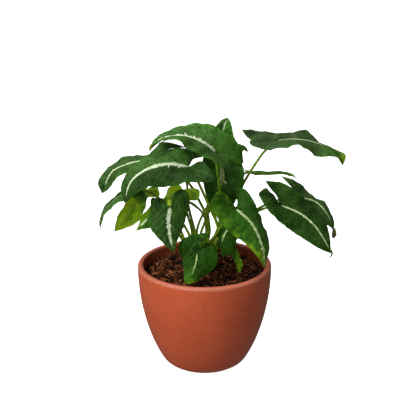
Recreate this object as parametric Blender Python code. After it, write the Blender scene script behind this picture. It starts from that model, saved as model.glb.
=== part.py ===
"""A potted arrowhead plant: velvety leaves on a clump of stems, in soil, in a round clay-red pot.

Lengths are in millimetres until a mesh is made, and every mesh is in metres, +Z up.
The pot stands on z = 0 with its axis on the Z axis. The view in the photograph looks along +Y.
"""
from collections import namedtuple
from math import cos, pi, radians, sin, tau

import bmesh
import bpy
import numpy as np

MM = 0.001
GAP = 0.3                     # air left between two pieces that touch

# The leaves are drawn in the photographed view: right and up from the sight point, and back
# from the pot's axis. The eye looks down on the sight point from this far.
SIGHT_POINT = np.array((3.5, 0.0, 166.7))
SIGHT_DISTANCE = 1200.0
SIGHT_TILT = radians(19.4)

# Pot: outer wall as radius and height, foot to lip.
POT_WALL = [(33.3, 0.0), (36.4, 1.6), (41.7, 5.4), (46.7, 13.0), (53.3, 27.0), (58.9, 43.3),
            (63.0, 59.5), (65.9, 75.7), (67.5, 91.9), (67.9, 102.5)]
POT_HEIGHT = 108.2
WALL_THICKNESS = 5.8
FLOOR_THICKNESS = 9.0
LIP_OUTER_ROUND = 3.0
LIP_INNER_ROUND = 2.4
POT_SEGMENTS = 48

# Soil: level at the wall, the mound in the middle, and the size of the crumbs.
SOIL_LEVEL = 96.5
SOIL_MOUND = 2.5
SOIL_RELIEF = 1.2
SOIL_RINGS = 7

# Stems stand together in the middle of the pot: where each one leaves the soil.
STEMS = {"left": (-9.0, -1.0), "middle": (-4.0, 1.5), "right": (1.3, -1.0)}
STEM_RADIUS = 3.3
STEM_FOOT = 72.0
STEM_TOP = 109.0

# Leaves
BLADE_THICKNESS = 0.7
BLADE_BULGE = 0.09            # how far a half blade swells, as a share of its width
BLADE_ROWS = 7                # from the tip to the petiole
LOBE_ROWS = 5                 # round the basal lobe
BLADE_COLUMNS = 3             # from the midrib to the margin
RIB_REACH = 0.86              # share of the midrib that is raised under the blade
PETIOLE_STEPS = 11
TUBE_SIDES = 6

# Where the margin is drawn: (along the midrib / its length, out / half width), tip to base.
MARGIN_STATIONS = [(0.86, 0.34), (0.60, 0.74), (0.30, 0.97), (0.0, 1.0),
                   (-0.22, 0.90), (-0.38, 0.50), (-0.18, 0.12)]

GREEN_BLADE = (0.030, 0.105, 0.028)
GREEN_STEM = (0.150, 0.260, 0.050)
CLAY_RED = (0.420, 0.120, 0.060)
PEAT_BROWN = (0.045, 0.022, 0.013)

# A leaf: the midrib from petiole to tip (right, up, back), its two margins (right, up) at the
# stations above, the real half width, the way its upper face looks, and whether each side
# turns away from (1) or towards (-1) the viewer. The petiole rises from the named stem.
Leaf = namedtuple("Leaf", "name half_width faces turns rib side_a side_b stem petiole")

LEAVES = [
    Leaf("leaf_01", half_width=27, faces=(0, -0.2, 1), turns=(1, -1),
         rib=[(7, 55.5, -8), (-6, 65.5, -12), (-25, 71, -16), (-44.5, 68.5, -20), (-58.5, 58, -24)],
         side_a=[(-54, 68.5), (-34, 80), (-2, 84.5), (18, 75), (31.5, 62.5), (35, 45), (23, 45)],
         side_b=[(-53.5, 64.5), (-32.5, 68.5), (-19, 58.5), (-2, 50), (13, 41.5), (22, 32), (23, 48)],
         stem="right",
         petiole=[(-2, -44, 0), (4.5, -32, -1), (9.5, -23, -3), (13, -14, -5), (13.5, 2, -12),
                  (11.5, 18, -13), (9, 42, -11)]),
    Leaf("leaf_02", half_width=27, faces=(0, -0.4, 1), turns=(1, -1),
         rib=[(-19.5, 41, -34), (-40, 44, -38), (-60, 39, -42), (-76.5, 26.5, -46), (-83.5, 5, -48)],
         side_a=[(-87, 20), (-77, 41), (-48, 57), (-29, 60), (-13, 57.5), (-2.5, 52), (-16, 48)],
         side_b=[(-77, 9.5), (-62, 20.5), (-41, 21), (-18, 26), (-3, 25.5), (7, 28), (-6, 46.5)],
         stem="right",
         petiole=[(6, -38, -3), (10.5, -28, -5), (10, -18, -7), (6.5, -9.5, -9), (-1.5, 8, -19),
                  (-7.5, 21, -28), (-13, 32, -34)]),
    Leaf("leaf_03", half_width=20, faces=(0, -0.3, 1), turns=(1, -1),
         rib=[(-61, 48, -8), (-80, 43.5, -12), (-95.5, 36, -16), (-106, 14.5, -18)],
         side_a=[(-110, 25), (-101.5, 38.5), (-81.5, 52), (-61.5, 52.5), (-44.5, 66), (-21, 60.5),
                 (-39.5, 59)],
         side_b=[(-99.5, 18.5), (-93, 28), (-81.5, 35.5), (-61, 36), (-48, 36), (-40, 40), (-51, 45)],
         stem="middle",
         petiole=[(0.5, -24, 4), (-1.5, -13, 6), (-4.5, -1, 4), (-9.5, 8.5, 2), (-20, 26, -2),
                  (-38, 37, -6), (-54, 44, -7)]),
    Leaf("leaf_04", half_width=17, faces=(0, 0, 1), turns=(1, -1),
         rib=[(-67, 17.5, -26), (-87, 12, -26), (-98.5, 3, -26), (-106, -8, -26), (-108, -23, -25)],
         side_a=[(-108, -14), (-104, -0.5), (-94.5, 10), (-75, 26), (-66, 32.5), (-58, 34.5), (-63, 28)],
         side_b=[(-106, -13.5), (-101.5, -4.5), (-88, 6), (-75, 10.5), (-70, 4.5), (-64.5, 2.5),
                 (-61.5, 12)],
         stem="left",
         petiole=[(-17.5, -30, -6), (-24, -17.5, -10), (-39, 2, -16), (-53, 12, -20), (-61, 16, -22)]),
    Leaf("leaf_05", half_width=19, faces=(-0.3, 1, 0.3), turns=(-1, 1),
         rib=[(-62, 18, 2), (-74, 9, 0), (-80, -5, -4), (-93.5, -23.5, -8)],
         side_a=[(-93, -18), (-91, -10), (-83, 4), (-73, 18), (-67, 21.5), (-60.5, 23), (-60.5, 20.5)],
         side_b=[(-86.5, -21.5), (-73, -16), (-64.5, -5), (-60, 9.5), (-48.5, 12.5), (-50, 21),
                 (-57, 21)],
         stem="left",
         petiole=[(-23.5, -32, 4), (-28, -21, 5), (-36, -6, 5), (-48, 9, 6), (-56, 16, 6)]),
    Leaf("leaf_06", half_width=11, faces=(-0.5, -0.5, 0.6), turns=(1, -1),
         rib=[(-48, 4, -14), (-59, -9, -18), (-72, -23, -22)],
         side_a=[(-70, -18), (-66.5, -9), (-60, -0.5), (-54.5, 5), (-50, 10), (-45, 10), (-47, 6)],
         side_b=[(-67.5, -21.5), (-58.5, -20), (-51, -15), (-42, -3), (-40, 2), (-41, 5), (-45, 3)],
         stem="left",
         petiole=[(-21, -38, -10), (-27, -30, -10), (-33, -18, -12), (-41, -2, -12)]),
    Leaf("leaf_07", half_width=20, faces=(0, -1, 0.4), turns=(1, 1),
         rib=[(-38, 1.5, -46), (-39.5, -14, -50), (-38, -29, -52), (-34, -45, -50)],
         side_a=[(-42.5, -37.5), (-53.5, -26), (-60, -14), (-57.5, -0.5), (-57, 9), (-49, 9.5),
                 (-41, 6)],
         side_b=[(-31, -34), (-26, -22), (-21.5, -9), (-19.5, 2), (-20.5, 16), (-28, 18.5), (-35.5, 13)],
         stem="left",
         petiole=[(-15.5, -29, -8), (-16.5, -20, -16), (-19.5, -10.5, -28), (-23.5, 0, -38),
                  (-31.5, 5, -43)]),
    Leaf("leaf_08", half_width=20, faces=(0, -0.9, 0.6), turns=(1, 1),
         rib=[(-10.5, -41, -50), (-12, -54, -54), (-20, -76, -56)],
         side_a=[(-23.5, -72.5), (-24.5, -62), (-25.5, -50.5), (-29.5, -43), (-27, -32.5), (-11, -26),
                 (2.5, -25)],
         side_b=[(-12, -74), (-3, -67.5), (6.5, -60), (9.5, -48), (8, -39.5), (2, -35), (-4.5, -35.5)],
         stem="middle",
         petiole=[(-5, -54, -14), (-4, -42, -28), (-7, -37, -42)]),
    Leaf("leaf_09", half_width=21, faces=(0, -0.9, 0.5), turns=(-1, 1),
         rib=[(28, -0.5, -32), (44, -16, -36), (53.5, -36.5, -40), (56.5, -60, -42)],
         side_a=[(50, -49.5), (36.5, -35), (22, -24.5), (6.5, -5.5), (2.5, 6.5), (12.5, 17.5),
                 (22.5, 8)],
         side_b=[(59.5, -49), (61.5, -35.5), (54, -13), (47, 4.5), (38, 18), (27, 20.5), (29.5, 6.5)],
         stem="right",
         petiole=[(2, -35, -10), (6.5, -28.5, -15), (11.5, -21, -20), (15.5, -14.5, -24),
                  (22, -5.5, -28)]),
    Leaf("leaf_10", half_width=12, faces=(0, -1, 0.3), turns=(1, 1),
         rib=[(21, -19, -18), (15, -30, -20), (15, -49, -22)],
         side_a=[(12.5, -44), (10, -37), (9, -28), (10, -20), (13, -15.5), (17, -13), (20, -15)],
         side_b=[(19, -48), (25, -42), (28, -34), (30, -27), (31, -20), (28, -14), (24, -15)],
         stem="right",
         petiole=[(4, -42, 4), (12, -28, 4), (20, -15, 0), (22, -14, -10)]),
    Leaf("leaf_11", half_width=24, faces=(0, 0, 1), turns=(1, -1),
         rib=[(69, 67, 0), (84, 68.5, 0), (105, 66, -2), (123.5, 57.5, -4), (135, 42.5, -6)],
         side_a=[(137.5, 53), (113, 63), (100, 77), (76.5, 74.5), (52, 77), (33.5, 78.5), (41, 69.5)],
         side_b=[(128.5, 51), (109.5, 51.5), (92, 62.5), (75, 60), (55, 58.5), (41.5, 65), (51, 73.5)],
         stem="right",
         petiole=[(5, -40, 6), (14, -18, 10), (24, 3, 12), (35, 24, 12), (50, 48, 6), (60, 60, 2)]),
    Leaf("leaf_12", half_width=13, faces=(0, 0.3, 1), turns=(1, -1),
         rib=[(48, 35.5, 32), (60, 35, 32), (77, 35, 30), (88.5, 30, 28)],
         side_a=[(83.5, 34.5), (74, 36), (62, 35.5), (49, 36), (42, 37), (35.5, 37), (42, 36.5)],
         side_b=[(82.5, 32.5), (73, 34.5), (62, 34), (52, 34), (43, 35.5), (36.5, 35.5), (42, 35.5)],
         stem="right",
         petiole=[(4, -36, 10), (13, -12, 16), (23, 16, 20), (31, 31, 28), (40, 35.5, 31)]),
    Leaf("leaf_13", half_width=21, faces=(0, -0.7, 0.7), turns=(-1, 1),
         rib=[(72.5, 2.5, -14), (91, -5, -18), (105, -16, -21), (114.5, -29, -23), (123.5, -45.5, -24)],
         side_a=[(113, -41.5), (95, -30.5), (78, -19), (60, -2), (50.5, 14), (58.5, 20), (68, 10)],
         side_b=[(122, -32), (119, -17.5), (103, 3), (85, 19.5), (73, 25.5), (57, 27), (68.5, 12)],
         stem="right",
         petiole=[(6, -44, 4), (20, -26, 6), (35, -11.5, 0), (50.5, -3, -8), (57, 0, -9), (65, 2, -10)]),
    Leaf("leaf_14", half_width=18, faces=(0, -0.3, 1), turns=(1, -1),
         rib=[(90.5, 10, 8), (105, 7.5, 6), (117.5, -4, 2), (126, -23.5, 0)],
         side_a=[(126, -14), (117, 5.5), (105, 11.5), (97, 20), (86, 28), (73, 32), (86, 18)],
         side_b=[(122, -19), (112, -14), (100, -7), (89, -3), (81, 1), (78, 8), (85.5, 9)],
         stem="right",
         petiole=[(7, -42, 8), (21, -28, 11), (38, -9, 8), (49.5, -1, 6), (56, 2.5, 7), (70.5, 8, 8),
                  (81, 9.5, 8)]),
    Leaf("leaf_15", half_width=16, faces=(0, -1, 0.3), turns=(-1, -1),
         rib=[(14, 50, 20), (12.5, 68, 21), (15, 79.5, 22), (19.5, 90.5, 24)],
         side_a=[(12.5, 87.5), (5, 75), (0, 62), (-1, 50), (0, 42), (5, 38), (11, 45)],
         side_b=[(22.5, 86.5), (25.5, 73.5), (30, 61), (31, 50), (29, 41), (23, 37), (17, 45)],
         stem="right",
         petiole=[(4, -36, 10), (11, -20, 16), (11.5, -2, 19), (12, 18, 20), (14, 38, 22)]),
    Leaf("leaf_16", half_width=14, faces=(0, -0.5, 1), turns=(1, -1),
         rib=[(14, 38, 36), (22, 52, 42), (32, 59, 46), (40, 56, 50)],
         side_a=[(38, 61), (31.5, 64), (21, 64), (6, 50), (1, 42), (0, 33), (8, 35)],
         side_b=[(36, 58), (32.5, 53), (28, 42), (27, 32), (24, 24), (18, 22), (14, 30)],
         stem="middle",
         petiole=[(-7, -24, 12), (-2.5, -13, 16), (1.5, -2, 20), (7, 16, 30), (11, 27, 40)]),
    Leaf("leaf_17", half_width=22, faces=(0, -1, 0.1), turns=(1, 1),
         rib=[(13, 41, -4), (12, 26, -5), (11, 12, -5), (12, -2, -5)],
         side_a=[(2, 3.5), (-2.5, 14), (-4.5, 25.5), (-5.5, 38), (-5, 50), (2, 55.5), (11, 50)],
         side_b=[(21, 2), (32, 13), (35.5, 24), (36, 37), (34, 44), (27, 46.5), (19, 43.5)],
         stem="middle",
         petiole=[(-0.5, -33, 4), (1.5, -23, 6), (0, -8, 8), (-0.5, 2, 9), (4, 20, 7), (11, 36, 2)]),
    Leaf("leaf_18", half_width=12, faces=(0, 0.9, 0.4), turns=(1, -1),
         rib=[(-19.5, 7.5, -20), (-30, 12.5, -20), (-47, 7.5, -22)],
         side_a=[(-42.5, 12.5), (-39, 21), (-28, 23), (-25.5, 18.5), (-18.5, 20), (-8.5, 17.5),
                 (-10.5, 8)],
         side_b=[(-43, 5), (-37, 1.5), (-30, -1.5), (-24, -3.5), (-21, -2.5), (-20.5, 1), (-20, 4)],
         stem="middle",
         petiole=[(-2, -28, -4), (-2.5, -13, -8), (-5, -6, -14), (-10, 0, -22), (-15, 3, -26)]),
    Leaf("leaf_19", half_width=7, faces=(0, -1, 0.4), turns=(1, 1),
         rib=[(20, -28, -12), (27, -50, -16), (31, -65.5, -20)],
         side_a=[(29.5, -60), (25.5, -51.5), (20, -44), (15, -35), (13.5, -25), (15, -17), (17.5, -22)],
         side_b=[(34.5, -59.5), (32.5, -49.5), (28.5, -41), (27.5, -32), (28, -24), (25.5, -17),
                 (22.5, -22)],
         stem="right",
         petiole=[(4, -48, 4), (9, -37, 6), (13, -30, 4), (18, -27, -5)]),
    Leaf("leaf_20", half_width=19, faces=(0, 0.3, 1), turns=(-1, -1),
         rib=[(-24, 32, 24), (-30, 38, 38), (-36, 39, 52), (-43, 33, 66)],
         side_a=[(-47, 33), (-53, 37), (-50, 38), (-43, 34), (-40, 30), (-34, 27.5), (-27, 29.5)],
         side_b=[(-36, 32), (-24, 37), (-14, 38), (-5, 33), (-4, 29), (-11, 27.5), (-21, 29.5)],
         stem="left",
         petiole=[(-12.5, -32, 4), (-14, -20, 7), (-17, -9, 10), (-19.5, 2, 13), (-21, 16, 17),
                  (-21.5, 26, 21)]),
    Leaf("leaf_21", half_width=14, faces=(0, 0.3, 1), turns=(-1, -1),
         rib=[(14, 15, 40), (17, 23, 54), (20, 27, 64), (25, 22, 75)],
         side_a=[(21, 23), (10, 26), (5, 23), (1, 16), (2, 11), (7, 8), (12, 11)],
         side_b=[(29, 22), (32, 25), (30, 22), (27, 15), (25, 10), (21, 8), (16, 11)],
         stem="middle",
         petiole=[(-11, -22.5, 10), (-7, -10.5, 18), (-1, 1, 26), (5, 8, 33)]),
]


def drawn(right, up, back):
    """Place of a point that the photographed view shows right and up of the sight point."""
    forward = np.array((0.0, cos(SIGHT_TILT), -sin(SIGHT_TILT)))
    upward = np.array((0.0, sin(SIGHT_TILT), cos(SIGHT_TILT)))
    eye = SIGHT_POINT - forward * SIGHT_DISTANCE
    ray = forward * SIGHT_DISTANCE + np.array((right, 0.0, 0.0)) + upward * up
    return eye + ray * (back - eye[1]) / ray[1]


def unit(vectors):
    """Vectors scaled to length one."""
    length = np.linalg.norm(vectors, axis=-1, keepdims=True)
    return vectors / np.maximum(length, 1e-9)


def smooth_curve(points, count):
    """A smooth curve through the points, pointed where it turns sharply, as count points."""
    points = np.asarray(points, float)
    steps = np.sqrt(np.linalg.norm(np.diff(points, axis=0), axis=1))
    knots = np.concatenate(([0.0], np.cumsum(steps)))
    slopes = np.diff(points, axis=0) / steps[:, None]
    before, after = steps[:-1, None], steps[1:, None]
    inner = (slopes[:-1] * after + slopes[1:] * before) / (before + after)
    bend = (unit(slopes[:-1]) * unit(slopes[1:])).sum(axis=1, keepdims=True)
    inner *= np.clip(1.0 + bend, 0.0, 1.0)
    tangents = np.vstack((slopes[:1], inner, slopes[-1:]))
    place = np.linspace(0.0, knots[-1], count)
    piece = np.clip(np.searchsorted(knots, place, side="right") - 1, 0, len(steps) - 1)
    span = steps[piece][:, None]
    x = (place - knots[piece])[:, None] / span
    return ((2 * x**3 - 3 * x**2 + 1) * points[piece] + (x**3 - 2 * x**2 + x) * span * tangents[piece]
            + (3 * x**2 - 2 * x**3) * points[piece + 1] + (x**3 - x**2) * span * tangents[piece + 1])


def along(curve, shares):
    """Points at the given shares of a curve's length."""
    steps = np.linalg.norm(np.diff(curve, axis=0), axis=1)
    lengths = np.concatenate(([0.0], np.cumsum(steps)))
    places = np.asarray(shares) * lengths[-1]
    return np.stack([np.interp(places, lengths, curve[:, axis]) for axis in range(3)], axis=-1)


def midrib(leaf):
    """The midrib from the petiole to the tip, and its length."""
    rib = smooth_curve([drawn(*point) for point in leaf.rib], 80)
    return rib, np.linalg.norm(np.diff(rib, axis=0), axis=1).sum()


def margin(leaf, side):
    """The margin of one side from the tip round the lobe to the petiole, as control points.

    The drawing gives each point across and up. Its depth follows from the real width: what the
    view doesn't show of the distance to the midrib is turned away from or towards the viewer.
    """
    rib, length = midrib(leaf)
    points = [rib[-1]]
    stations = zip(MARGIN_STATIONS, (leaf.side_a, leaf.side_b)[side])
    for (share, out), (right, up) in stations:
        foot = along(rib, max(share, 0.0))
        real = np.hypot(min(share, 0.0) * length, out * leaf.half_width)
        seen = np.linalg.norm(drawn(right, up, foot[1]) - foot)
        hidden = np.sqrt(max(real**2 - seen**2, (0.12 * real)**2))
        points.append(drawn(right, up, foot[1] + leaf.turns[side] * hidden))
    points.append(rib[0])
    return points


def lobe_vein(points, edge, lobe_rows):
    """Starts of a lobe's rays on the vein that runs back into it, and their numbers on the vein.

    They go out from the petiole along the vein, and back along it on its other side.
    """
    joint, outer, end, inner = points[8], points[5], points[6], points[7]
    extreme = np.argmin(np.linalg.norm(edge - end, axis=1)) / len(edge)
    fold = int(np.clip(round(extreme * lobe_rows), 2, lobe_rows - 2))
    count = min(fold, lobe_rows - fold)
    row = np.arange(lobe_rows + 1)
    share = np.where(row < fold, row / fold, (lobe_rows - row) / (lobe_rows - fold))
    steps = np.rint(share * count).astype(int)
    far = 0.3 * outer + 0.4 * end + 0.3 * inner
    t = (steps / count)[:, None]
    roots = (1 - t)**2 * joint + t * (1 - t) * (outer + inner) + t**2 * far
    return roots, steps


def half_blade(leaf, side, rows, lobe_rows, columns):
    """Middle surface of one half: a row of points from the midrib to the margin per ray."""
    rib, _ = midrib(leaf)
    points = margin(leaf, side)
    edge = smooth_curve(points, 400)
    beside = int(0.93 * np.argmin(np.linalg.norm(edge - points[4], axis=1)))
    front = along(edge[:beside + 1], np.linspace(0.0, 1.0, rows + 1))
    lobe = along(edge[beside:], np.linspace(0.0, 1.0, lobe_rows + 1))
    starts, steps = lobe_vein(points, lobe, lobe_rows)
    edge = np.vstack((front, lobe[1:]))
    roots = np.vstack((along(rib, np.linspace(1.0, 0.0, rows + 1)), starts[1:]))
    out = np.linspace(0.0, 1.0, columns + 1)[None, :, None]
    surface = roots[:, None] * (1.0 - out) + edge[:, None] * out
    swell = 4.0 * out * (1.0 - out) * BLADE_BULGE * np.linalg.norm(edge - roots, axis=1)[:, None, None]
    return surface + swell * ray_normals(leaf, surface, rows)[:, None], steps


def ray_normals(leaf, surface, rows):
    """The upper side's direction for each ray of a half blade, smoothed along the margin."""
    across = surface[:, -1] - surface[:, 0]
    normals = unit(np.cross(np.gradient(surface[:, -1] + surface[:, 0], axis=0), across))
    if normals[rows // 2] @ np.array(leaf.faces) < 0:
        normals = -normals
    normals[0], normals[-1] = normals[1], normals[-2]
    for _ in range(3):
        inner = normals[:-2] + 2.0 * normals[1:-1] + normals[2:]
        normals = unit(np.vstack((normals[:1], inner, normals[-1:])))
    return normals


def blade_surface(leaf, rows, lobe_rows, columns):
    """Points and triangles of the whole middle surface, and the numbers of the midrib's points."""
    points, triangles, ribs = [], [], []
    for side in (0, 1):
        grid, steps = half_blade(leaf, side, rows, lobe_rows, columns)
        if side == 0:
            ribs = list(range(rows + 1))
            points = list(grid[:rows + 1, 0])
        numbers = np.empty(grid.shape[:2], int)
        vein = [ribs[-1]] + [len(points) + step for step in range(max(steps))]
        points += [grid[rows + list(steps).index(step), 0] for step in range(1, max(steps) + 1)]
        numbers[:, 0] = ribs + [vein[step] for step in steps[1:]]
        numbers[0, :] = ribs[0]
        numbers[-1, :] = ribs[-1]
        for row in range(1, rows + lobe_rows):
            for column in range(1, columns + 1):
                numbers[row, column] = len(points)
                points.append(grid[row, column])
        for row in range(rows + lobe_rows):
            for column in range(columns):
                a, b = numbers[row, column], numbers[row, column + 1]
                d, c = numbers[row + 1, column], numbers[row + 1, column + 1]
                for triangle in ((a, b, c), (a, c, d)):
                    if len(set(triangle)) == 3:
                        triangles.append(triangle if side else triangle[::-1])
    points, triangles = np.array(points), np.array(triangles)
    corners = points[triangles]
    areas = np.cross(corners[:, 1] - corners[:, 0], corners[:, 2] - corners[:, 0])
    upper = areas[np.isin(triangles, ribs[1:]).any(axis=1)].sum(axis=0)
    if upper @ np.array(leaf.faces) < 0:
        triangles = triangles[:, ::-1]
    return points, triangles, ribs


def point_normals(points, triangles):
    """The surface's direction at each point."""
    corners = points[triangles]
    areas = np.cross(corners[:, 1] - corners[:, 0], corners[:, 2] - corners[:, 0])
    normals = np.zeros_like(points)
    for corner in range(3):
        np.add.at(normals, triangles[:, corner], areas)
    return unit(normals)


def border_edges(triangles):
    """Edges that belong to one triangle only, in that triangle's direction."""
    edges = {(a, b) for t in triangles.tolist() for a, b in zip(t, t[1:] + t[:1])}
    return [(a, b) for a, b in edges if (b, a) not in edges]


def blade(leaf):
    """A closed blade: the same triangles on both faces, and a rim between them."""
    points, triangles, _ = blade_surface(leaf, BLADE_ROWS, LOBE_ROWS, BLADE_COLUMNS)
    offset = point_normals(points, triangles) * BLADE_THICKNESS / 2
    count = len(points)
    faces = triangles.tolist() + (triangles[:, ::-1] + count).tolist()
    for a, b in sorted(border_edges(triangles)):
        faces += [(b, a, a + count), (b, a + count, b + count)]
    return make_object(leaf.name, np.vstack((points + offset, points - offset)), faces)


def rib_under_blade(leaf):
    """Centre line and radii of the raised rib, from the petiole towards the tip."""
    points, triangles, ribs = blade_surface(leaf, BLADE_ROWS, LOBE_ROWS, BLADE_COLUMNS)
    normals = point_normals(points, triangles)[ribs][::-1]
    line = points[ribs][::-1]
    shares = np.linspace(0.0, 1.0, len(line))
    keep = shares <= RIB_REACH
    thick = 0.80 + 0.014 * leaf.half_width
    radii = thick * (1.0 - 0.68 * shares)
    heading = unit(np.gradient(line, axis=0))
    drop = np.empty(len(line))
    for number, point in enumerate(line):
        fold = 1.0
        for other in neighbours(points, triangles, ribs[::-1][number], ribs):
            spoke = other - point
            spoke = unit(spoke - (spoke @ heading[number]) * heading[number])
            down = max(0.0, -(spoke @ normals[number]))
            fold = min(fold, np.sqrt(1.0 - min(down, 0.9)**2))
        drop[number] = (BLADE_THICKNESS / 2 + GAP + radii[number]) / fold
    return (line - normals * drop[:, None])[keep], radii[keep], heading[0], normals[0]


def neighbours(points, triangles, number, ribs):
    """Points joined to one point of the midrib, the midrib's own left out."""
    beside = triangles[(triangles == number).any(axis=1)]
    return [points[other] for other in set(beside.ravel().tolist()) - set(ribs)]


def petiole(leaf):
    """Centre line and radii of a petiole that rises from its stem and becomes the rib."""
    rib, rib_radii, heading, normal = rib_under_blade(leaf)
    turn = 2.4 * LEAVES.index(leaf)
    foot = np.array((*STEMS[leaf.stem], STEM_FOOT + 22.0)) + 0.75 * np.array((cos(turn), sin(turn), 0.0))
    way = [foot, foot + (0.4 * cos(turn), 0.4 * sin(turn), 9.0)]
    way += [drawn(*point) for point in leaf.petiole]
    way.append(rib[0] - heading * 4.0 - normal * 3.0)
    way.append(rib[0])
    line = along(smooth_curve(way, 200), np.linspace(0.0, 1.0, PETIOLE_STEPS + 1))
    root = 1.2 + 0.03 * leaf.half_width
    radii = np.linspace(root, rib_radii[0], PETIOLE_STEPS + 1)
    return np.vstack((line, rib[1:])), np.concatenate((radii, rib_radii[1:]))


def tube(name, line, radii):
    """A closed tube round a line, its rings carried along without twist."""
    heading = unit(np.gradient(line, axis=0))
    side = unit(np.cross(heading[0], (0.3, 1.0, 0.2)))
    points, faces = [], []
    for centre, ahead, radius in zip(line, heading, radii):
        side = unit(side - (side @ ahead) * ahead)
        other = np.cross(ahead, side)
        for step in range(TUBE_SIDES):
            angle = tau * step / TUBE_SIDES
            points.append(centre + radius * (cos(angle) * side + sin(angle) * other))
    for ring in range(len(line) - 1):
        for step in range(TUBE_SIDES):
            a = ring * TUBE_SIDES + step
            b = ring * TUBE_SIDES + (step + 1) % TUBE_SIDES
            faces += [(a, b, b + TUBE_SIDES), (a, b + TUBE_SIDES, a + TUBE_SIDES)]
    faces.append(tuple(reversed(range(TUBE_SIDES))))
    faces.append(tuple(range(len(points) - TUBE_SIDES, len(points))))
    return make_object(name, points, faces)


def stem_line(place):
    """Centre line of a stem, from its foot in the soil to its top."""
    heights = (STEM_FOOT, SOIL_LEVEL, STEM_TOP - 4.0, STEM_TOP)
    return np.array([(*place, height) for height in heights])


def build_stems():
    """All stems and petioles of the clump, joined into one piece."""
    pieces = []
    for side, place in STEMS.items():
        radii = [STEM_RADIUS, STEM_RADIUS, STEM_RADIUS * 0.85, STEM_RADIUS * 0.5]
        pieces.append(tube("stem_" + side, stem_line(place), radii))
    for leaf in LEAVES:
        pieces.append(tube("petiole_" + leaf.name, *petiole(leaf)))
    clump = pieces[0]
    clump.name = "stems"
    combine(clump, pieces[1:], "UNION")
    paint(clump, "stem_green", GREEN_STEM, 0.55)


def combine(target, others, operation):
    """Join other objects to the target, or cut them from it, and remove them."""
    tools = bpy.data.collections.new("tools")
    for other in others:
        other.hide_render = True
        other.display_type = "WIRE"
        tools.objects.link(other)
    modifier = target.modifiers.new(operation.lower(), "BOOLEAN")
    modifier.operation = operation
    modifier.operand_type = "COLLECTION"
    modifier.collection = tools
    modifier.solver = "EXACT"
    bpy.context.view_layer.update()
    graph = bpy.context.evaluated_depsgraph_get()
    mesh = bpy.data.meshes.new_from_object(target.evaluated_get(graph))
    target.modifiers.clear()
    target.data = mesh
    mesh.name = target.name
    for other in others:
        bpy.data.objects.remove(other)
    bpy.data.collections.remove(tools)


def inner_wall():
    """Inner wall of the pot as (radius, height), from the middle of the floor to the lip."""
    wall = [(radius - WALL_THICKNESS, height) for radius, height in POT_WALL[3::2]]
    return [(0.0, FLOOR_THICKNESS), (36.0, FLOOR_THICKNESS)] + wall


def pot_profile():
    """The pot's section: round the outside, over the lip and down the inside."""
    top_radius = POT_WALL[-1][0]
    profile = [(0.0, 0.0)] + POT_WALL
    for step in range(1, 4):
        angle = pi / 2 * step / 3
        profile.append((top_radius - LIP_OUTER_ROUND * (1 - cos(angle)) - 0.3 * step / 3,
                        POT_HEIGHT - LIP_OUTER_ROUND * (1 - sin(angle))))
    inner_top = top_radius - WALL_THICKNESS
    for step in range(0, 3):
        angle = pi / 2 * step / 3
        profile.append((inner_top + LIP_INNER_ROUND * (1 - sin(angle)),
                        POT_HEIGHT - LIP_INNER_ROUND * (1 - cos(angle))))
    return profile + inner_wall()[::-1]


def lathe(name, profile, lift=None):
    """Turn a section round the Z axis; lift(x, y) raises points of the section marked for it."""
    points, rings, faces = [], [], []
    for radius, height, *marked in profile:
        count = 1 if radius == 0.0 else POT_SEGMENTS
        rings.append([len(points) + step for step in range(count)])
        for step in range(count):
            angle = tau * step / POT_SEGMENTS
            x, y = radius * cos(angle), radius * sin(angle)
            rise = lift(x, y) if marked else 0.0
            points.append((x, y, height + rise))
    for low, high in zip(rings, rings[1:]):
        for step in range(POT_SEGMENTS):
            after = (step + 1) % POT_SEGMENTS
            a, b = low[step % len(low)], low[after % len(low)]
            d, c = high[step % len(high)], high[after % len(high)]
            for triangle in ((a, b, c), (a, c, d)):
                if len(set(triangle)) == 3:
                    faces.append(triangle)
    return make_object(name, points, faces)


def build_pot():
    """The round pot with its rolled lip."""
    pot = lathe("pot", pot_profile())
    paint(pot, "clay_red", CLAY_RED, 0.5)


def soil_relief(x, y):
    """Crumbs and hollows of the soil, and its mound, at a place on the surface."""
    reach = np.hypot(x, y) / 60.0
    crumbs = sin(0.23 * x + 1.3 * sin(0.17 * y)) * cos(0.21 * y - 0.9 * sin(0.19 * x))
    crumbs += 0.6 * sin(0.41 * x - 0.33 * y + 1.0) * cos(0.37 * y + 0.28 * x)
    return SOIL_MOUND * (1.0 - reach**2) + SOIL_RELIEF * crumbs


def build_soil():
    """The soil that fills the pot, with a plain hole for each stem."""
    wall = [(radius - GAP, height + GAP) for radius, height in inner_wall()[1:]
            if height < SOIL_LEVEL - 6.0]
    brim = POT_WALL[-1][0] - WALL_THICKNESS - GAP - 0.5
    top = [(brim * (1.0 - step / SOIL_RINGS), SOIL_LEVEL, True) for step in range(SOIL_RINGS)]
    profile = [(0.0, FLOOR_THICKNESS + GAP)] + wall + top + [(0.0, SOIL_LEVEL, True)]
    soil = lathe("soil", profile, soil_relief)
    holes = []
    for side, place in STEMS.items():
        line = [(*place, STEM_FOOT - GAP), (*place, SOIL_LEVEL), (*place, STEM_TOP)]
        holes.append(tube("hole_" + side, np.array(line), [STEM_RADIUS + GAP] * 3))
    combine(soil, holes, "DIFFERENCE")
    paint(soil, "peat_brown", PEAT_BROWN, 0.95)


def build_leaves():
    """One blade for each leaf."""
    for leaf in LEAVES:
        paint(blade(leaf), leaf.name + "_green", GREEN_BLADE, 0.6)


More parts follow.
